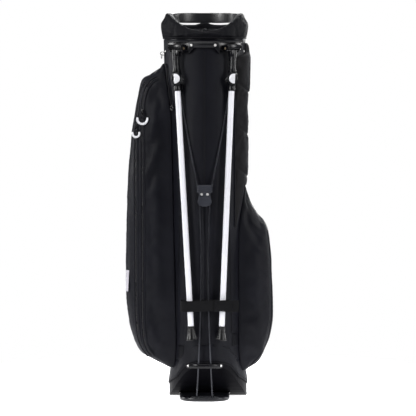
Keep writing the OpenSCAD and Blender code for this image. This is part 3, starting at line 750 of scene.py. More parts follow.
GARMENT_REACH = table(((69, 83), (80, 106), (87, 120), (92, 134), (106, 150), (128, 161), (168, 172.5),
    (215, 178.5), (280, 180), (350, 179.5), (420, 178), (500, 175), (568, 170), (610, 166), (651, 159),
    (687, 152.5), (704, 149.5), (718, 146.5), (728, 142.5), (734, 138), (738, 131), (741, 120),
    (747, 111), (757, 100), (766, 92)), 3.5)
GARMENT_HALF = table(((69, 44), (91, 52), (130, 56), (630, 56), (665, 52), (703, 44), (725, 36),
    (744, 26), (766, 12)), 10.0)
GARMENT_FOLDS = ((-84, 690, -83, 130, 6.5, -6.5), (-106, 690, -122, 596, 8, 4.2),
    (-94, 700, -104, 640, 5, -3.4), (-92, 604, -131, 506, 9, 3.4), (-112, 560, -104, 200, 10, 3.2),
    (-98, 600, -94, 240, 7, -3.0), (-104, 560, -126, 470, 7, -1.8), (-76, 560, -80, 300, 5, 2.0),
    (-122, 205, -138, 150, 6, 1.8), (-112, 230, -128, 160, 5, -1.6), (-104, 190, -120, 130, 6, 1.5),
    (-90, 150, -122, 100, 6, -1.6), (-96, 180, -86, 110, 5, 1.7), (-135, 440, -128, 250, 7, 1.2),
    (-118, 420, -112, 240, 9, -1.2), (-100, 470, -98, 240, 7, 1.3), (-74, 250, -72, 120, 3, 1.8),
    (-78, 230, -84, 118, 3, -2.0), (-148.8, 668, -149.2, 170, 2.4, 1.6), (-165, 600, -168, 200, 5, -1.2))
garment, garment_skin = pocket("garment_pocket_shell", 69, 765, 6.0, GARMENT_REACH, GARMENT_HALF, -1,
    GARMENT_FOLDS, 7.0, 76, (120, 138), ("garment_pocket",))

SIDE_REACH = table(((62, 98), (70, 107), (94, 131), (127, 148), (160, 155), (186, 157.4), (251, 157),
    (300, 155), (340, 152.6), (372, 149), (389, 145.5), (412, 133), (435, 119.5), (460, 104), (478, 95.5),
    (484, 93)), 7.0)
SIDE_HALF = table(((62, 44), (85, 52), (123, 56), (310, 57), (400, 55), (430, 47), (455, 36), (484, 16)),
    10.0)
SIDE_FOLDS = (
    # slack fan under the opening
    (76, 392, 126, 338, 5, 2.4), (80, 402, 108, 352, 3.5, -2.4),
    (90, 404, 122, 372, 4, 2.0), (98, 398, 128, 362, 3.2, -2.4),
    (104, 412, 134, 384, 4, 1.6), (74, 380, 92, 330, 4, -2.0),
    # shaded recess at the opening
    (94, 432, 104, 396, 6, -3.4), (88, 424, 96, 398, 5, -2.6),
    # long folds beside the tube, and the creases at the foot
    (78, 372, 76, 170, 3.4, 1.7), (84, 360, 84, 150, 3.4, -1.8),
    (90, 350, 92, 190, 4, 1.6), (99, 330, 102, 180, 6, -1.3),
    (110, 350, 118, 200, 8, 1.3), (130, 330, 134, 180, 7, -1.0),
    (83, 150, 99, 122, 3.2, 2.2), (99, 122, 92, 158, 3.2, -2.2),
    (84, 160, 79, 120, 3, -1.8), (108, 150, 120, 104, 6, 1.2))
side, side_skin = pocket("side_pocket_shell", 62, 483, 5.5, SIDE_REACH, SIDE_HALF, 1, SIDE_FOLDS, 3.0, 66,
    (128, 150), ("side_pocket",))

INNER_ZIP = ((-106, 83), (-131, 112), (-139.5, 150), (-141.5, 200), (-141.5, 300), (-141.5, 420),
    (-141.5, 560), (-141.5, 655), (-139.5, 684), (-132.5, 708), (-119, 726), (-107, 732))
OUTER_ZIP = ((-127, 96), (-145, 122), (-153, 160), (-156.2, 220), (-156.5, 320), (-156.5, 440),
    (-156.5, 560), (-154.8, 622), (-150.5, 666), (-144.5, 700), (-134, 722))
for word, route in (("inner", INNER_ZIP), ("outer", OUTER_ZIP)):
    zip_line("garment_%s_zip" % word, garment_skin.path(smooth_path(route, 12), 0.7, soft_over=4),
        ("garment_zip_" + word,))
zip_line("side_pocket_zip", side_skin.path(straight(128, 128, 128, 368), 0.15, back=True), ("side_zip",))


def outline(reach, sx, z0, z1, inset, step=6.0):
    n = int((z1 - z0) / step)
    return [(sx * (reach(z0 + (z1 - z0) * k / n) - inset), z0 + (z1 - z0) * k / n) for k in range(n + 1)]


edge_g = garment_skin.path(outline(GARMENT_REACH, -1, 76, 756, 3.0), 0.0)
edge_s = side_skin.path(outline(SIDE_REACH, 1, 70, 384, 3.4), 0.0)
inner_s = side_skin.path([(x - 9 - 0.03 * abs(z - 250), z)
    for x, z in outline(SIDE_REACH, 1, 84, 400, 0.0)], 0.05)
join("pocket_piping", [cording(edge_g, 1.2), cording(edge_s, 1.2), stitching(inner_s)], slot="webbing")
for ob in (garment, side):
    solidify(ob)
    subdivide(ob)

# ---- ball pocket
BALL_REACH = table(((75, 104), (88, 122), (105, 132), (130, 139), (160, 143), (200, 145), (240, 143),
    (270, 134), (290, 121), (300, 106)), 8.0)
BALL_HALF = table(((75, 40), (105, 56), (200, 60), (270, 56), (300, 40)), 8.0)
rows = []
for i in range(43):
    z = 75 + 225 * i / 42
    a, b = ry(z, 0.5), rx(z, 0.5)
    v = min(BALL_HALF(z), b * 0.92)
    y0 = a * sqrt(1 - (v / b) ** 2)
    edge = ease(0, 25, z - 75) * (1 - ease(-25, 0, z - 300))
    row = []
    for k in range(57):
        t = radians(-90 + 180 * k / 56)
        t -= 0.22 * sin(2 * t)
        y = y0 + (max(BALL_REACH(z), a + 1.2) - y0) * max(0, cos(t)) ** 0.6
        x = -v * copysign(abs(sin(t)) ** 0.6, t) + cx(z)
        d = 1.5 * fbm((x, y, z), 0.024, 3, 11.0) * edge * sin(pi * k / 56)
        row.append((x, y + d, z))
    rows.append(row)
ball = surface("ball_pocket_shell", rows, FABRIC, close_n=False, slot="body_fabric",
    replaces=("ball_pocket",))
cloth(ball, pocket_pins(ball, 43, 57, 124, 140, axis=1), 0.5, 4.0, 1.5, gravity=0.2, relax=3)
ball_skin = Skin(ball)
zip_line("ball_pocket_zip", ball_skin.path(straight(-38, 128, -38, 262), 0.15, back=True), ("ball_zip",))
edge_b = ball_skin.path([(cx(z) + 44, z) for z in range(92, 286, 6)], 0.0, back=True)
edge_c = ball_skin.path([(cx(z) - 50, z) for z in range(96, 282, 6)], 0.0, back=True)
join("ball_pocket_piping", [cording(edge_b, 1.1), stitching(edge_b, 3.4), cording(edge_c, 1.1)],
    slot="webbing")
solidify(ball)
subdivide(ball)

# ---- hip pad
PAD_SEAMS = (698, 602, 506)


def pad_seam_z(centre, deg):
    return centre + 21 * (min(abs(deg), 46) / 38) ** 1.3


def pad_limit(z):
    return lerp_table(((393, -42), (414, -38), (450, -28), (484, -16), (491, 8), (500, 44), (813, 46)), z)


def pad_start(z):
    """Front edge of the pad in degrees; it turns back under the bracket."""
    return lerp_table(((779, -44), (789, -14.5), (813, -12)), z)


rows, pins = [], []
N_OUT, N_IN = 35, 11
PAD_ROWS = 124
for i in range(PAD_ROWS):
    z = 393 + 419.5 * i / (PAD_ROWS - 1)
    t0, t1 = pad_start(z), pad_limit(z)
    row = []
    for j in range(N_OUT):
        f = j / (N_OUT - 1)
        deg = t0 + (t1 - t0) * f
        full = lerp_table(((393, 2.6), (500, 3.8), (690, 4.6), (704, 8.4), (813, 9.2)), z)
        crown = min(1, (t1 - t0) / 40) * sin(pi * f) ** 0.4
        crown *= max(0.02, min(1, (815 - z) / 36)) ** 0.4
        if t1 > 40:
            crown *= min(1, (z - 486) / 14) ** 0.4 if z > 486 else 0.1
        d = full * crown
        for c in PAD_SEAMS:
            d -= (0.3 * full + 0.9) * bump(z, pad_seam_z(c, deg), 4.0) * crown
        d += 0.5 * fbm((deg * 1.4, 0, z), 0.03, 3, 5.0) * crown
        row.append(on_tube(deg, z, 0.5 + max(0.15, d)))
        sewn = max(bump(z, pad_seam_z(c, deg), 3.0) for c in PAD_SEAMS)
        pins.append(1.0 if j in (0, N_OUT - 1) or i in (0, PAD_ROWS - 1) or z < 500 else min(1.0,
            0.1 + sewn))
    for j in range(N_IN):
        deg = t1 + (t0 - t1) * j / (N_IN - 1)
        row.append(on_tube(deg, z, 0.42))
        pins.append(1.0)
    rows.append(row)
pad = surface("hip_pad_quilted", rows, PAD_FABRIC, caps=True, slot="pad_fabric", replaces=("hip_pad",))
cloth(pad, pins, 1.2, 2.5, 0.5, grow=0.04, gravity=0.0)
parts = []
for c in PAD_SEAMS:
    line = []
    for k in range(41):
        deg = -43 + 86 * k / 40
        z = pad_seam_z(c, deg)
        g = lerp_table(((500, 3.8), (690, 4.6), (704, 8.4)), z) * 0.45
        line.append(tube_pair(deg, z, 0.5 + max(0.2, g - 1.4) * 0.9))
    # dark strip along each quilting seam is painted seam shadow
    parts += [rows_part(strip_rows(line, tape(0.7, 0.35)), SEAM_SHADOW), stitching(line, 0.0, 4.0)]
rim = [(Vector(on_tube(-43.6, z, 1.1)), Vector((cos(-0.76), sin(-0.76), 0))) for z in range(396, 778, 6)]
top = [tube_pair(pad_start(778 + 33 * k / 9) + 0.6, 778 + 33 * k / 9, 1.4) for k in range(10)]
top += [tube_pair(-11 + 56 * k / 29, 811, 1.4) for k in range(30)]
join("hip_pad_seams", parts + [cording(rim, 1.1), cording(top, 1.1)], slot="pad_fabric")

# ---- hinge bracket and yokes
def pivot_at(s, p):
    """Place in the bag of a point in a leg hinge's own axes."""
    c, d = cos(SPLAY), sin(SPLAY)
    x, y = p[0] * c - p[1] * d, p[0] * d + p[1] * c
    return (s * (PIVOT[0] + x), PIVOT[1] + y, PIVOT[2] + p[2])


def leg_at(s, p):
    """Place in the bag of a point in a leg's own axes."""
    a, b = radians(-1.34), radians(s * 2.78 - 0.44)
    x, y, z = p
    y, z = y * cos(a) - z * sin(a), y * sin(a) + z * cos(a)
    x, z = x * cos(b) + z * sin(b), -x * sin(b) + z * cos(b)
    return (s * 60.8 + x, -94.6 + y, 704 + z)


def lathe(profile, place, axis="z", n=36):
    """Rows turned from (radius, height) pairs round an axis through a place."""
    return [[place({"z": (r * c, r * d, h), "y": (r * c, h, r * d), "x": (h, r * c, r * d)}[axis])
        for c, d in turn(n)] for r, h in profile]


def turned(profile, mat, place, axis="z", n=36, ring=False):
    return rows_part(lathe(profile, place, axis, n), mat, caps=not ring, close_m=ring)


def block(lo, hi, place, r=0.8):
    """Box with rounded edges along its longest side."""
    size = [b - a for a, b in zip(lo, hi)]
    k = size.index(max(size))
    i, j = [q for q in range(3) if q != k]
    sec = rounded_section(size[i], size[j], min(r, size[i] / 2.2, size[j] / 2.2), 2)
    rows = []
    for h, g in ((0, r), (0.35 * r, 0.35 * r), (r, 0), (size[k] - r, 0), (size[k] - 0.35 * r, 0.35 * r),
            (size[k], r)):
        row = []
        for a, b in sec:
            p = [0.0, 0.0, 0.0]
            p[i] = (lo[i] + hi[i]) / 2 + a * (1 - 2 * g / size[i])
            p[j] = (lo[j] + hi[j]) / 2 + b * (1 - 2 * g / size[j])
            p[k] = lo[k] + h
            row.append(place(p))
        rows.append(row)
    return rows


def bar(lo, hi, r, place, mat):
    return rows_part(block(lo, hi, place, r), mat)


def bracket_band(g0, g1, x0, x1, low, high, n, mat):
    """Band that follows the tube, with rounded long edges."""
    rows = []
    for i in range(n + 1):
        x = x0 + (x1 - x0) * i / n
        z0, z1 = low(x), high(x)
        y_in, y_out = front_y(x, 805, g0), front_y(x, 805, g1)
        d = y_in - y_out
        row = [(y_in, z0), (y_out + 0.35 * d, z0), (y_out + 0.1 * d, z0 + 0.4), (y_out, z0 + 1.4),
            (y_out, z1 - 1.4), (y_out + 0.1 * d, z1 - 0.4), (y_out + 0.35 * d, z1), (y_in, z1)]
        rows.append([(x, y, z) for y, z in row])
    return rows_part(rows, mat)


def plate_low(x):
    """Lower edge of the centre plate, with its two tapering tabs."""
    side = 34.5 if x > 0 else 36.5
    return 801.2 - 12.6 * max(0.0, min(1.0, (abs(x) - side + 12.5) / 11.5)) ** 1.15


parts = [bracket_band(0.6, 4.5, -85, -34, lambda x: 795.2, lambda x: 813.6, 36, BLACK),
    bracket_band(0.6, 4.5, 32, 85, lambda x: 795.2, lambda x: 813.6, 36, BLACK),
    bracket_band(0.6, 9.0, -36.8, 34.8, plate_low, lambda x: 815.6 - 1.6 * bump(abs(x), 36, 2.5), 96,
    BRACKET), bracket_band(9.0, 9.7, -27, 21.5, lambda x: 803.6, lambda x: 806.4, 40, BRACKET),
    bracket_band(9.0, 9.7, -27, 21.5, lambda x: 811.0, lambda x: 813.2, 40, BRACKET)]
for s in (-1, 1):
    at = lambda p, s=s: pivot_at(s, p)
    for a in (-17.4, 12.6):
        parts += [turned(((2.7, a), (7.6, a), (8.4, a + 0.7), (8.5, a + 1.4), (8.5, a + 3.4),
            (8.4, a + 4.1), (7.6, a + 4.8), (2.7, a + 4.8)), BLACK, at, "x", ring=True),
            bar((a, 1, -6), (a + 4.8, 22.0, 8), 0.9, at, BLACK),
            bar((a, -13, -1), (a + 4.8, -1.5, 7), 0.9, at, BLACK)]
    parts.append(bar((-17.4, -13, -1), (17.4, -10, 8.5), 0.9, at, BLACK))
join("hinge_bracket_moulding", parts, slot="moulded_black", replaces=("hinge_bracket",))

YOKE = ((6.6, 96), (8.0, 93), (8.5, 88), (8.6, 82), (8.5, 74), (8.2, 62), (8.3, 52), (8.7, 47.2),
    (9.8, 45.8), (10, 44.8), (10, 42.8), (9.2, 41.9), (9.0, 41.2), (10.2, 40.8), (10.9, 39.6), (11, 37),
    (11, 21.5), (10.6, 19.4), (9.4, 18.4), (8.5, 17.8), (8.5, 12), (8.2, 11.6), (8.2, 10.4), (8.5, 10),
    (8.6, 2), (8.3, 0.6), (7.6, 0.1), (6.6, 0.2), (6.55, 6), (0.8, 6.1))
HUB = ((2.6, -12.1), (6.9, -12.1), (7.8, -11.2), (8, -10), (8, -4), (8.3, -3), (8.3, 3), (8, 4), (8, 10),
    (7.8, 11.2), (6.9, 12.1), (2.6, 12.1))
BOSS = ((9.5, -3), (12.0, -8), (12.4, -9.4), (12.3, -10.8), (11.6, -11.5), (10.2, -11.6), (9.8, -11.0),
    (9.6, -10.6), (0.5, -10.5))
STUD = ((4.6, 0), (4.6, 13.6), (4.2, 14.9), (3.4, 15.4), (2.9, 15.4), (2.7, 14.6), (0.6, 14.5))
DOME = ((10.9, -11.8), (10.9, -12.6), (10.5, -13.6), (9.4, -14.6), (7.0, -15.2), (4.0, -15.4),
    (1.0, -15.5))
FOOT = ((6.5, -539.5), (6.6, -534.2), (7.4, -533.4), (8.1, -533.8), (8.3, -535), (8.3, -539),
    (8.0, -539.6), (8.0, -540.6), (8.3, -541.2), (8.5, -545), (9.4, -550), (10.6, -556), (11.8, -561),
    (12.3, -563.4))
for s, word in ((-1, "left"), (1, "right")):
    on = lambda p, s=s: leg_at(s, p)
    at = lambda p, s=s: pivot_at(s, p)
    parts = [turned(HUB, BLACK, at, "x", ring=True),
        bar((-7.6, -7.3, -20), (7.6, 7.3, -2), 2.4, at, BLACK), turned(YOKE, BLACK, on),
        turned(BOSS, BLACK, lambda p: on((p[0], p[1], p[2] + 28)), "y"),
        turned(STUD, BLACK, lambda p: on((-s * p[0], p[1] - 3, p[2] + 24)), "x", 24),
        bar((-s * 14.6 - 0.5, -5.2, 23.6), (-s * 14.6 + 0.5, -0.8, 24.4), 0.2, on, STEEL)]
    # moulded ribs along the neck
    for q in (-60, -90, -120):
        c, d = cos(radians(q)), sin(radians(q))
        parts.append(rows_part([[on((c * (8.1 + b) - d * a, d * (8.1 + b) + c * a, h))
            for a, b in ((-0.7, -0.6), (-0.45, 0.5), (0.45, 0.5), (0.7, -0.6))]
            for h in (50, 52, 60, 70, 78, 80)], BLACK))
    parts += [bar((-5.8, 7.4, -100), (-3.4, 14.8, -80), 0.5, at, BLACK),
        bar((7.3, 7.4, -100), (9.7, 14.8, -80), 0.5, at, BLACK),
        bar((-5.8, 7.2, -100), (9.7, 9.4, -80), 0.5, at, BLACK)]
    join("leg_yoke_moulding_" + word, parts, body="leg_" + word, slot="moulded_black",
        replaces=("leg_yoke_" + word,))
    # domed half-disc cap, flat on its inner side
    rows = []
    for r, h in DOME:
        flat = 2.8 * r / 10.9
        rows.append([on(((max(r * c, -flat) if s < 0 else min(r * c, flat)) + s * 4, h, r * d + 28))
            for c, d in turn(48)])
    surface("leg_cap_dome_" + word, rows, WHITE, caps=True, body="leg_" + word, slot="white_plastic",
        replaces=("leg_cap_" + word,))
    # fluted rubber foot with a raked sole
    rows = []
    for i, (row, (r, h)) in enumerate(zip(lathe(FOOT, on, "z", 40), FOOT)):
        deep, mid = 0.35 * ease(5, 9, i), Vector(on((0, 0, h)))
        rows.append([tuple(mid + (Vector(p) - mid) * (1 - deep * 0.08 * (k % 4 == 0)))
            for k, p in enumerate(row)])
    for r in (12.3, 11.4, 6.0, 0.8):
        rows.append([on((r * c, r * d, max(-565.8,
            -565.6 + (0.5 if r > 12 else 0) - s * r * c * tan(radians(18))))) for c, d in turn(40)])
    surface("leg_foot_rubber_" + word, rows, RUBBER, caps=True, body="leg_" + word, slot="rubber",
        replaces=("leg_foot_" + word,))

# ---- rod clip
def clip_half(z):
    """Half width of the clip: square head, waist and rounded tail."""
    if z > 474:
        return 17.8 - 2.6 * ease(489, 492, z) - 3.4 * (1 - ease(472.5, 476, z))
    if z > 462:
        return 13.4 + 1.0 * (1 - ease(462, 468, z))
    return 16 * sqrt(max(0.0, 1 - ((454 - z) / 11.2) ** 2)) if z < 459 else 14.6


rows = []
for i in range(50):
    z = 443.1 + (491.8 - 443.1) * i / 49
    w = max(2.0, clip_half(z))
    face = -111.2 + 1.0 * (1 - ease(443, 446, z)) + 1.0 * ease(489.5, 491.8, z)
    face += 0.9 * (bump(z, 474, 1.2) + bump(z, 463, 1.0))
    for k in (476.5, 481.5, 486.5):
        face -= 0.9 * bump(z, k, 1.1)
    ring = [(w, -101.8), (w, face + 2.0), (w - 0.7, face + 0.7), (w - 2.0, face)]
    ring += [(w * q, face - 0.25 * cos(pi * q / 2)) for q in (0.6, 0.3)]
    ring += [(0, face - 0.25)] + [(-x, y) for x, y in ring[::-1]]
    rows.append([(x, y, z) for x, y in ring])
surface("rod_clip_moulding", rows, SLATE, caps=True, body="rods", slot="slate_plastic",
    replaces=("rod_clip",))

# ---- foot plate, keeper and boot trim
def plate_ring(g, z, n=40):
    """Outline of the rocking plate drawn in by g; its back edge is straight."""
    row = []
    for k in range(n + 1):
        t = pi + pi * k / n
        c, d = cos(t), sin(t)
        row.append(((57 - g) * power(c, 0.74), -80 - (41.6 - g) * abs(d) ** 0.86, z))
    return row + [(57 - g, -44, z), (57 - g, -9.4 - g, z), (-57 + g, -9.4 - g, z), (-57 + g, -44, z)]


rows = [plate_ring(g, z) for g, z in ((14, 0.15), (4.5, 0.15), (1.6, 1.2), (0.5, 3.2), (0.2, 5.6),
    (0.6, 7.8), (1.8, 9.1), (4.2, 9.6), (6.0, 9.5), (7.0, 8.9), (20, 8.8), (38, 8.8))]
parts = [rows_part(rows, PLATE)]
for k in range(4):
    parts.append(bar((-33 + 2 * k, -116.8 + 4 * k, 8.4), (33 - 2 * k, -115.0 + 4 * k, 10.3), 0.5, tuple,
        PLATE))
for s in (-1, 1):
    for a in (-6.4, 3.6):
        parts.append(bar((s * 18 + a, -119, 8.2), (s * 18 + a + 2.8, -104, 12.2), 0.8, tuple, PLATE))
parts.append(turned(((0.8, -56.9), (4.0, -56.9), (4.5, -56.2), (4.5, 56.2), (4.0, 56.9), (0.8, 56.9)),
    PLATE, lambda p: (p[0], p[1] - 15, p[2] + 6.5), "x", 28))
join("foot_plate_moulding", parts, body="plate", slot="moulded_black", replaces=("foot_plate",))

BOW_HALF = 39.4
bow = [(x, -114.6 + 15.6 * (abs(x) / BOW_HALF) ** 2.5, 80.4 - 1.2 * (abs(x) / BOW_HALF) ** 2)
    for x in (-BOW_HALF + 2 * BOW_HALF * k / 48 for k in range(49))]
section = [(2.3 * power(c, 0.6), 5.1 * power(d, 0.75)) for c, d in turn(24)]
parts = [rows_part(sweep_rows(bow, section, lambda f: 0.86 + 0.14 * ease(0, 0.12,
    f) * (1 - ease(0.88, 1, f))), BLACK)]
for s in (-1, 1):
    parts.append(turned(((0.6, -100.0), (5.2, -100.0), (5.4, -101.4), (4.9, -102.6), (3.6, -103.2),
        (0.6, -103.3)), BLACK, lambda p, s=s: (s * 36.6 + p[0], p[1], 80.5 + p[2]), "y", 28))
join("rod_keeper_bow", parts, slot="moulded_black", replaces=("rod_keeper",))


def boot_top(y):
    """Height of the boot's upper edge at a depth."""
    return lerp_table(((-94, 90), (-80, 81), (-60, 52), (-20, 33), (40, 29), (130, 29)), y)


SKIRT_H = 40
edge, rows = [], []
for k in range(180):
    deg, q = 2.0 * k, radians(2.0 * k)
    y = on_tube(deg, 60, 3.6)[1]
    low = boot_top(y) - 2.6
    front = ease(55, 88, -y)
    wave = 0.5 * sin(7 * q + 1) + 0.35 * sin(13 * q)
    row = []
    for f in (0, 0.15, 0.3, 0.45, 0.6, 0.75, 0.88, 1.0):
        g = (0.12 + 0.38 * ease(0.0, 0.2, f) + (4.3 - 2.2 * front) * ease(0.0, 0.9,
            f) + wave * sin(pi * f))
        row.append(on_tube(deg, low + SKIRT_H * (1 - f), g + 0.7 * bump(f, 0.9, 0.08)))
    for f in (1.0, 0.75, 0.4, 0.0):
        g = 0.1 + (3.6 - 2.0 * front) * ease(0.0, 0.9, f)
        row.append(on_tube(deg, low + SKIRT_H * (1 - f), g - 0.2))
    rows.append(row)
    edge.append((Vector(row[7]), outward(deg)))
edge.append(edge[0])
surface("boot_skirt", rows, FABRIC, close_m=True, slot="body_fabric")
rim_low = [tube_pair(deg, 3.0, 3.2) for deg in range(0, 181, 3)]
tube_edge = [(Vector(row[6]) + n * 0.2, n) for row, (p, n) in zip(rows, edge)]
join("boot_trim", [cording(edge, 1.0, 10), rows_part(strip_rows(rim_low, tape(2.2, 0.7)), BOOT),
    stitching(tube_edge, 0.0, 4.0)], slot="moulded_black")

# ---- cuff
def rim_height(t):
    c = cos(t) ** 2
    if sin(t) < 0:
        return 839 + 41 * c
    return 854.5 + 25.5 * c ** 3 + 5.5 * bump(94 * cos(t), 0, 17)


def cuff_section(t):
    z, c = rim_height(t), cos(t) ** 2
    q = [(-2.2, 820.6), (-2.4, 828.6), (-9.2, 829.4), (-9 - 15 * c, max(831, z - 34 * c - 9 * (1 - c))),
        (-8.8 - 20.5 * c, z - 4 - 18 * c), (-6.5 - 15 * c, z - 0.6 - 4.2 * c), (-1.8 - 9.8 * c, z + 0.2),
        (3.4 - 8.6 * c, z - 4.3 + 1.4 * c), (6.4 - 7.2 * c, max(834, z - 14 + 2 * c)),
        (6.9 - 0.8 * c, max(830, z - 29)), (5.2 - 3.4 * c, 825 + c), (1.4, 820.8)]
    p = smooth_path([(a, b, 0) for a, b in q], 3)
    out = []
    for a, b, _ in p:
        dip = 1.2 * bump(degrees(t) % 360, 270, 1.3) if a > 1 else 0
        out.append(((94 + a - dip) * cos(t), (99 + a - dip) * sin(t), b))
    return out


rows = [cuff_section(2 * pi * k / 144) for k in range(144)]
n_sec = len(rows[0])
pins = [1.0 if (j < 10 or j > n_sec - 4) else 0.25 for _ in rows for j in range(n_sec)]
cuff = surface("cuff_mesh_pad", rows, CUFF_MESH, close_m=True, slot="mesh_fabric",
    replaces=("cuff_padding",))
cloth(cuff, pins, 1.5, 2.0, 0.5, gravity=0.0)
hem = []
for k in range(181):
    t = 2 * pi * k / 180
    g = 4.6 - 3.4 * cos(t) ** 2
    hem.append((Vector(((94 + g) * cos(t), (99 + g) * sin(t), 823.6)),
        Vector((cos(t), sin(t), -0.5)).normalized()))
join("cuff_piping", [cording(hem, 1.1), stitching(hem, 3.0)], slot="webbing")
subdivide(cuff)

# ---- lift handle
def grip(t):
    return (80 * cos(t), 56 + 80 * sin(t) ** 0.7)


centre = []
for k in range(61):
    t = pi * k / 60
    x, y = grip(t)
    q = atan2(y - 40, x)
    centre.append((x - 2.5 * cos(q), y - 2.5 * sin(q), 871.0))
profile = rounded_section(4.6, 24, 2.0, 4)
rows = sweep_rows(centre, profile, lambda f: 1.0)
for i, row in enumerate(rows):
    mid = sin(pi * i / 60)
    rows[i] = [(x, y, 871 + (z - 871) * (0.86 + 0.14 * mid) + 0.35 * fbm((x, y, z), 0.03, 2, 2.0))
        for x, y, z in row]
handle = surface("lift_handle_leather", rows, LEATHER, caps=True, slot="handle_leather",
    replaces=("lift_handle",))
subdivide(handle)
sew = []
for dz in (-9.3, 9.3):
    line = []
    for i in range(4, 57):
        x, y, z = centre[i]
        q = atan2(y - 40, x)
        n = Vector((-cos(q), -sin(q), 0))
        line.append((Vector((x, y, z + dz * (0.86 + 0.14 * sin(pi * i / 60)))) + n * 2.2, n))
    sew.append(ribs(line, 3.6, 0.35, 2.6, 0.45, THREAD))
join("lift_handle_stitching", sew, slot="handle_leather")

# ---- dividers
def padded_bar(a, b, w, h, n=36):
    path = [tuple(a[k] + (b[k] - a[k]) * i / n for k in range(3)) for i in range(n + 1)]
    sec = [(w / 2 * power(cos(q), 0.55), h / 2 * power(sin(q), 0.6))
        for q in (2 * pi * k / 20 for k in range(20))]
    rows = sweep_rows(path, sec, lambda f: 1 - 0.1 * bump(f, 0, 0.03) - 0.1 * bump(f, 1,
        0.03) - 0.03 * sin(25 * f) ** 2)
    return rows_part(rows, CUFF_MESH)


bars = join("divider_bars", [padded_bar((0, -86.5, 836.8), (0, 86.5, 836.8), 12, 15, 60),
    padded_bar((-70.5, 0, 836.8), (-6.1, 0, 836.8), 12, 15),
    padded_bar((6.1, 0, 836.8), (70.5, 0, 836.8), 12, 15)], slot="mesh_fabric", replaces=("divider_top",))


def curtain(name, at, lows, replaces):
    """Thin hanging cloth wall; at(u, z) is its place, lows its lower edge."""
    rows = []
    for i in range(41):
        f = i / 40
        front, rear = [], []
        for k in range(25):
            u = k / 24
            z = lows(u) + (829 - lows(u)) * f
            slack = sin(pi * u) * sin(pi * f)
            d = 2.6 * fbm((u * 90, z * 0.5, 3), 0.03, 3, 6.0) * slack
            front.append(at(u, z, d - 0.7))
            rear.append(at(u, z, d + 0.7))
        rows.append(front + rear[::-1])
    return surface(name, rows, LINING, caps=True, slot="body_fabric", replaces=replaces)


curtain("divider_wall_x", lambda u, z, d: (cx(z) - 81 + 162 * u, d, z), lambda u: 30.5,
    ("divider_panel_x",))
curtain("divider_wall_front", lambda u, z, d: (d, -86.5 + 83 * u, z),
    lambda u: 30.5 + max(0.0, 46 - 50 * u * 83 / 42), ("divider_panel_y",))
curtain("divider_wall_rear", lambda u, z, d: (d, 3.5 + 83 * u, z), lambda u: 30.5, ())

# ---- floor of the bag
rows = []
for g, z in ((-4.6, 24.5), (-3.4, 25.6), (-3.3, 28), (-4.4, 29.2), (-24, 29.5), (-50, 29.3), (-80, 29.5)):
    row = []
    for k in range(72):
        x, y, _ = on_tube(5 * k, 27, g)
        row.append((x, max(y, -42.5 - (z - 24.5) * 0.8), z))
    rows.append(row)
surface("floor_foam", rows, FOAM, caps=True, slot="foam", replaces=("base_floor_pad",))

# ---- leg strap
path = []
for k in range(160):
    s = 2 * pi * k / 160
    c, d = cos(s), sin(s)
    x = 2 + copysign(min(1.0, abs(c) * 1.6) * 45.5, c) + 11 * copysign(max(0.0, abs(c) - 0.45) / 0.55, c)
    y = -107 - 11.2 * power(d, 0.45)
    path.append((x, y, 0))
band = rounded_section(1.7, 25, 0.7, 2)
rows = []
n = len(path)
for i, (x, y, _) in enumerate(path):
    dx = path[(i + 1) % n][0] - path[i - 1][0]
    dy = path[(i + 1) % n][1] - path[i - 1][1]
    length = hypot(dx, dy)
    nx, ny = dy / length, -dx / length
    sag = 0.9 * sin(x * 0.05) * (1 if y < -107 else 0)
    rows.append([(x + nx * a, y + ny * a, 218.4 + b + sag - 0.3) for a, b in band])
strap = surface("leg_strap_elastic", rows, WEBBING, close_m=True, slot="webbing", replaces=("leg_strap",))
tail_path = [(22 + 3.25 * k, -120.4 - 0.5 * sin(k * 0.35) + 0.012 * max(0, k - 12) ** 3,
    218.6 + 0.5 * sin(k * 0.4)) for k in range(18)]
rows = [[(x, y + a, z + b * (1.0 + 0.03 * sin(i))) for a, b in rounded_section(1.9, 26, 0.8, 2)]
    for i, (x, y, z) in enumerate(tail_path)]


def box_sewing(x0, x1, z0, z1, y):
    ring = ([(x0, z0), (x1, z0)], [(x1, z0), (x1, z1)], [(x1, z1), (x0, z1)], [(x0, z1), (x0, z0)],
        [(x0, z0), (x1, z1)], [(x1, z0), (x0, z1)])
    out = []
    for (xa, za), (xb, zb) in ring:
        line = [(Vector((xa + (xb - xa) * k / 6, y, za + (zb - za) * k / 6)), Vector((0, -1, 0)))
            for k in range(7)]
        out.append(ribs(line, 2.6, 0.32, 1.9, 0.4, THREAD))
    return out


tail = join("leg_strap_overlap", [rows_part(rows, WEBBING)] + box_sewing(25, 33, 208, 229,
    -121.6) + [ribs([(Vector((x, -121.3, 208 + k * 2)), Vector((0, -1, 0))) for k in range(11)], 2.4,
    0.32, 1.8, 0.4, THREAD) for x in (60, 62.5)], slot="webbing", replaces=("leg_strap_tail",))
subdivide(strap)
for ob in (strap, tail):
    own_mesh(ob)

# ---- pocket label
rows = []
for i in range(13):
    z = 243 + 49 * i / 12
    slant = 5.0 * (i / 12)
    pts = [(-180.9 + 0.12 * slant, -24.2), (-178.2 + 0.5 * slant * 0.5, -29.5),
        (-175.6 + slant * 0.5, -35.0)]
    pts = smooth_path([(a, b, 0) for a, b in pts], 4)
    rows.append([(a - 0.5, b - 0.35, z) for a, b, _ in pts] + [(a + 0.5, b + 0.35, z)
        for a, b, _ in pts[::-1]])
surface("pocket_label_cloth", rows, LABEL, caps=True, slot="label_white", replaces=("pocket_label",))

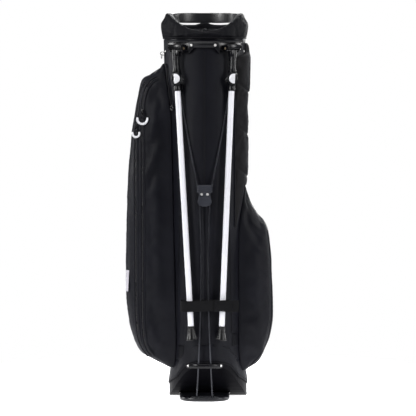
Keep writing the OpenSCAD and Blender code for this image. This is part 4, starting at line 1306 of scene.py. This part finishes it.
# ---- carrying strap, rear
def back_ribbon(pts, w, th, mat):
    rows = []
    for p, t, sd, up in frames_along(smooth_path(pts, 5)):
        out = Vector((0, 1, 0)) if abs(t.y) < 0.9 else Vector((0, 0, 1))
        out = (out - t * out.dot(t)).normalized()
        rows.append([tuple(p + Vector((a, 0, 0)) + out * b)
            for a, b in rounded_section(w, th, th * 0.45, 2)])
    return rows_part(rows, mat)


web = [back_ribbon([(0, 103.8, 788), (0, 105.5, 778), (0, 108.6, 768), (0, 111.5, 758)], 30, 2.4,
    WEBBING), back_ribbon([(0, 112.5, 446), (0, 111.4, 425), (0, 109.6, 404), (0, 109.2, 392)], 25, 2.0,
    WEBBING), back_ribbon([(0, 109.2, 384), (0, 106.6, 366), (0, 101.8, 342), (0, 97.0, 320)], 25, 2.0,
    WEBBING), back_ribbon([(0, 106.4, 392), (0, 105.8, 388), (0, 106.6, 384)], 25, 1.6, WEBBING)]
join("carry_webbing", web, slot="webbing", replaces=("strap_webbing",))

rows, pins = [], []
for k in range(66):
    f = k / 65
    z = 441 + 320 * f
    y, w, h = 112 + 15.6 * sin(pi * f), 25 + 4 * sin(pi * f), 6.6
    end = min(1, min(f, 1 - f) / 0.05) ** 0.5
    row = []
    for j in range(36):
        t = 2 * pi * j / 36
        c, s = cos(t), sin(t)
        quilt = 1 - 0.32 * max(bump(f, q, 0.013) for q in (0.2, 0.4, 0.6, 0.8))
        rim_in = 1.0 if abs(c) < 0.93 else 0.8
        row.append((w * (0.55 + 0.45 * end) * power(c, 0.55),
            y + h * (0.35 + 0.65 * end) * quilt * power(s, 0.75) * rim_in, z))
        pins.append(1.0 if k in (0, 65) else (0.9 if abs(c) > 0.97 or quilt < 0.8 else 0.2))
    rows.append(row)
carry = surface("carry_pad", rows, PAD_FABRIC, caps=True, slot="pad_fabric", replaces=("strap_pad",))
cloth(carry, pins, 1.6, 2.5, 0.5, grow=0.04, gravity=0.0)
subdivide(carry)
binding = []
for sgn in (-1, 1):
    line = []
    for k in range(56):
        f = 0.03 + 0.94 * k / 55
        line.append((Vector((sgn * (25.3 + 4 * sin(pi * f)), 112 + 15.6 * sin(pi * f), 441 + 320 * f)),
            Vector((sgn, 0, 0))))
    binding.append(cording(line, 1.5))
join("carry_pad_binding", binding, slot="webbing")

# ---- tabs, loops and elastic
def cloth_patch(rows_front, th, mat):
    """Thin closed sheet from a grid of points, th thick."""
    rows = []
    for row in rows_front:
        back = [(x, y + th, z) for x, y, z in row[::-1]]
        rows.append(list(row) + back)
    return rows_part(rows, mat)


def tab(x0, width, z0, tall, m, n, lift, belly, drift=0.0, slant=0.0):
    """Grid of points on a grip tab's front; belly(f) is how far it stands off halfway across."""
    rows = []
    for i in range(m):
        f, row = i / (m - 1), []
        for j in range(n):
            g = j / (n - 1)
            x, z = x0 + width * g + drift * f * g, z0 + tall * i / (m - 1)
            row.append((x, front_y(x, z) - lift - belly(f) * sin(pi * g), z + slant * g * (1 - f)))
        rows.append(row)
    return rows


tab_l = tab(-61.5, 13.5, 90, 32, 15, 11, 0.9, lambda f: 2.6 * (0.4 + 0.6 * f), 2.0, 4.0)
tab_r = tab(62.5, 12.5, 122, 28, 13, 9, 0.8, lambda f: 1.8 * (1 - 0.4 * f))
edge = [(Vector(row[5]) + Vector((0, -0.2, 0)), Vector((0, -1, 0))) for row in tab_l]
join("grip_tab_cloth", [cloth_patch(tab_l, 1.0, FABRIC_DARK), cloth_patch(tab_r, 1.0, FABRIC_DARK),
    stitching(edge, 3.0, 3.4)], slot="body_fabric", replaces=("grip_tabs",))

arc = [radians(-100 + 200 * k / 24) for k in range(25)]
loop = ([(-92.2, -20, 785.4), (-93.6, -20, 784.6)] + [(-97.6 - 3.4 * cos(a), -20, 788 + 3.6 * sin(a))
    for a in arc] + [(-93.6, -20, 791.4), (-92.2, -20, 791.0)])
rows = []
for p, t, sd, up in frames_along(loop):
    out = t.cross(Vector((0, 1, 0))).normalized()
    rows.append([tuple(p + Vector((0, a, 0)) + out * b) for a, b in rounded_section(10, 1.3, 0.55, 2)])
join("d_ring_webbing", [rows_part(rows, WEBBING)], slot="webbing", replaces=("d_ring_loop",))

elastic = []
for k in range(33):
    z = 666 + 98 * k / 32
    elastic.append(tube_pair(217 - 0.14 * (z - 664) + 0.8 * sin(k * 0.5), z, 2.7 + 0.5 * sin(k * 0.4)))
knot = strip_rows(elastic[-4:], [(2.6 * c, 2.2 * d) for c, d in turn(12)])
join("umbrella_elastic", [cording(elastic, 1.6, 12), rows_part(knot, PIPING)], slot="webbing",
    replaces=("umbrella_cord",))
mid, out = tube_pair(217, 664, 1.6)
along = Vector((-out.y, out.x, 0))
rows = [[tuple(mid + along * (r * c) + Vector((0, 0, r * d)) + out * h) for c, d in turn(32)]
    for r, h in ((3.0, 0.2), (7.0, 0.2), (7.2, 1.4), (6.6, 2.9), (5.0, 3.6), (3.6, 3.4), (3.0, 2.7),
    (1.0, 2.6))]
surface("umbrella_snap_button", rows, BLACK, caps=True, slot="moulded_black", replaces=("umbrella_snap",))

# ---- sliders and their pulls
def slider_parts(o, sy):
    """Slider body and bridge around a place on a zip's face."""
    x0, y0, z0 = o
    rows = []
    for f in range(15):
        g = f / 14
        w = 3.5 - 1.1 * bump(g, 0.5, 0.22) - 0.5 * (g > 0.9)
        d = 3.2 * (0.35 + 0.65 * sin(pi * min(1, max(0, g))) ** 0.5)
        rows.append([(x0 + a, y0 + sy * (0.5 + d / 2 + b), z0 - 6.8 + 13.6 * g)
            for a, b in rounded_section(2 * w, d, min(0.9, d / 2.2), 2)])
    arch = [(x0, y0 + sy * (3.4 + 3.6 * sin(pi * k / 10) ** 0.6), z0 - 2.4 + 6.4 * k / 10)
        for k in range(11)]
    return [rows_part(rows, BLACK), rows_part(sweep_rows(arch, rounded_section(2.6, 1.2, 0.5, 2)), BLACK)]


def pull_parts(o, sy, w, h):
    """Half-ring grip moulded round a doubled cord through the slider."""
    x0, y0, z0 = o
    r = w / 2 - 2.7
    yc = y0 + sy * 5.9
    arc = [(x0 + r * cos(a), yc, z0 - 9.5 - (h - w / 2) + r * sin(a))
        for a in (radians(180 + 180 * k / 30) for k in range(31))]
    arms = h - w / 2
    if arms > 3:
        arc = [(x0 - r, yc, z0 - 9.5 - 2.7 + 0.2)] + arc + [(x0 + r, yc, z0 - 9.5 - 2.7 + 0.2)]
    ends = lambda f: 1 - 0.25 * bump(f, 0, 0.015) - 0.25 * bump(f, 1, 0.015)
    grip_part = rows_part(sweep_rows(arc, circle_section(2.6, 14), ends), WHITE)
    top_y = y0 + sy * 5.6
    cord = smooth_path([(x0 - r + 0.6, yc, z0 - 13.2), (x0 - 5.6, top_y, z0 - 12.9),
        (x0 - 3.0, top_y, z0 - 10), (x0 - 2.7, top_y, z0 - 3), (x0 - 1.9, top_y, z0 + 0.8),
        (x0, top_y, z0 + 1.6), (x0 + 1.9, top_y, z0 + 0.8), (x0 + 2.7, top_y, z0 - 3),
        (x0 + 3.0, top_y, z0 - 10), (x0 + 5.6, top_y, z0 - 12.9), (x0 + r - 0.6, yc, z0 - 13.2)], 5)
    cord_part = rows_part(sweep_rows(cord, circle_section(0.95, 8)), PIPING)
    knot_rows = sweep_rows([(x0, top_y, z0 - 12.6 + 1.0 * k) for k in range(5)], circle_section(2.6, 12),
        lambda f: 0.45 + 0.55 * sin(pi * f))
    return [grip_part, cord_part, rows_part(knot_rows, PIPING)]


PULLS = (("inner", (-141.5, -53 + 0.008 * 255, 655), -1, 28, 20),
    ("outer", (-156.5, -48.2 + 0.012 * 222, 622), -1, 21, 17),
    ("side", (128, 54.6 - 0.004 * 134, 350), 1, 21, 17), ("ball", (-38, 143.5, 240), 1, 21, 17))
for key, origin, sy, w, h in PULLS:
    join("slider_" + key, slider_parts(origin, sy), body="slider_" + key, slot="moulded_black",
        replaces=("zip_slider_" + key,))
    join("pull_" + key, pull_parts(origin, sy, w, h), body="pull_" + key, slot="white_plastic",
        replaces=("zip_pull_" + key,))
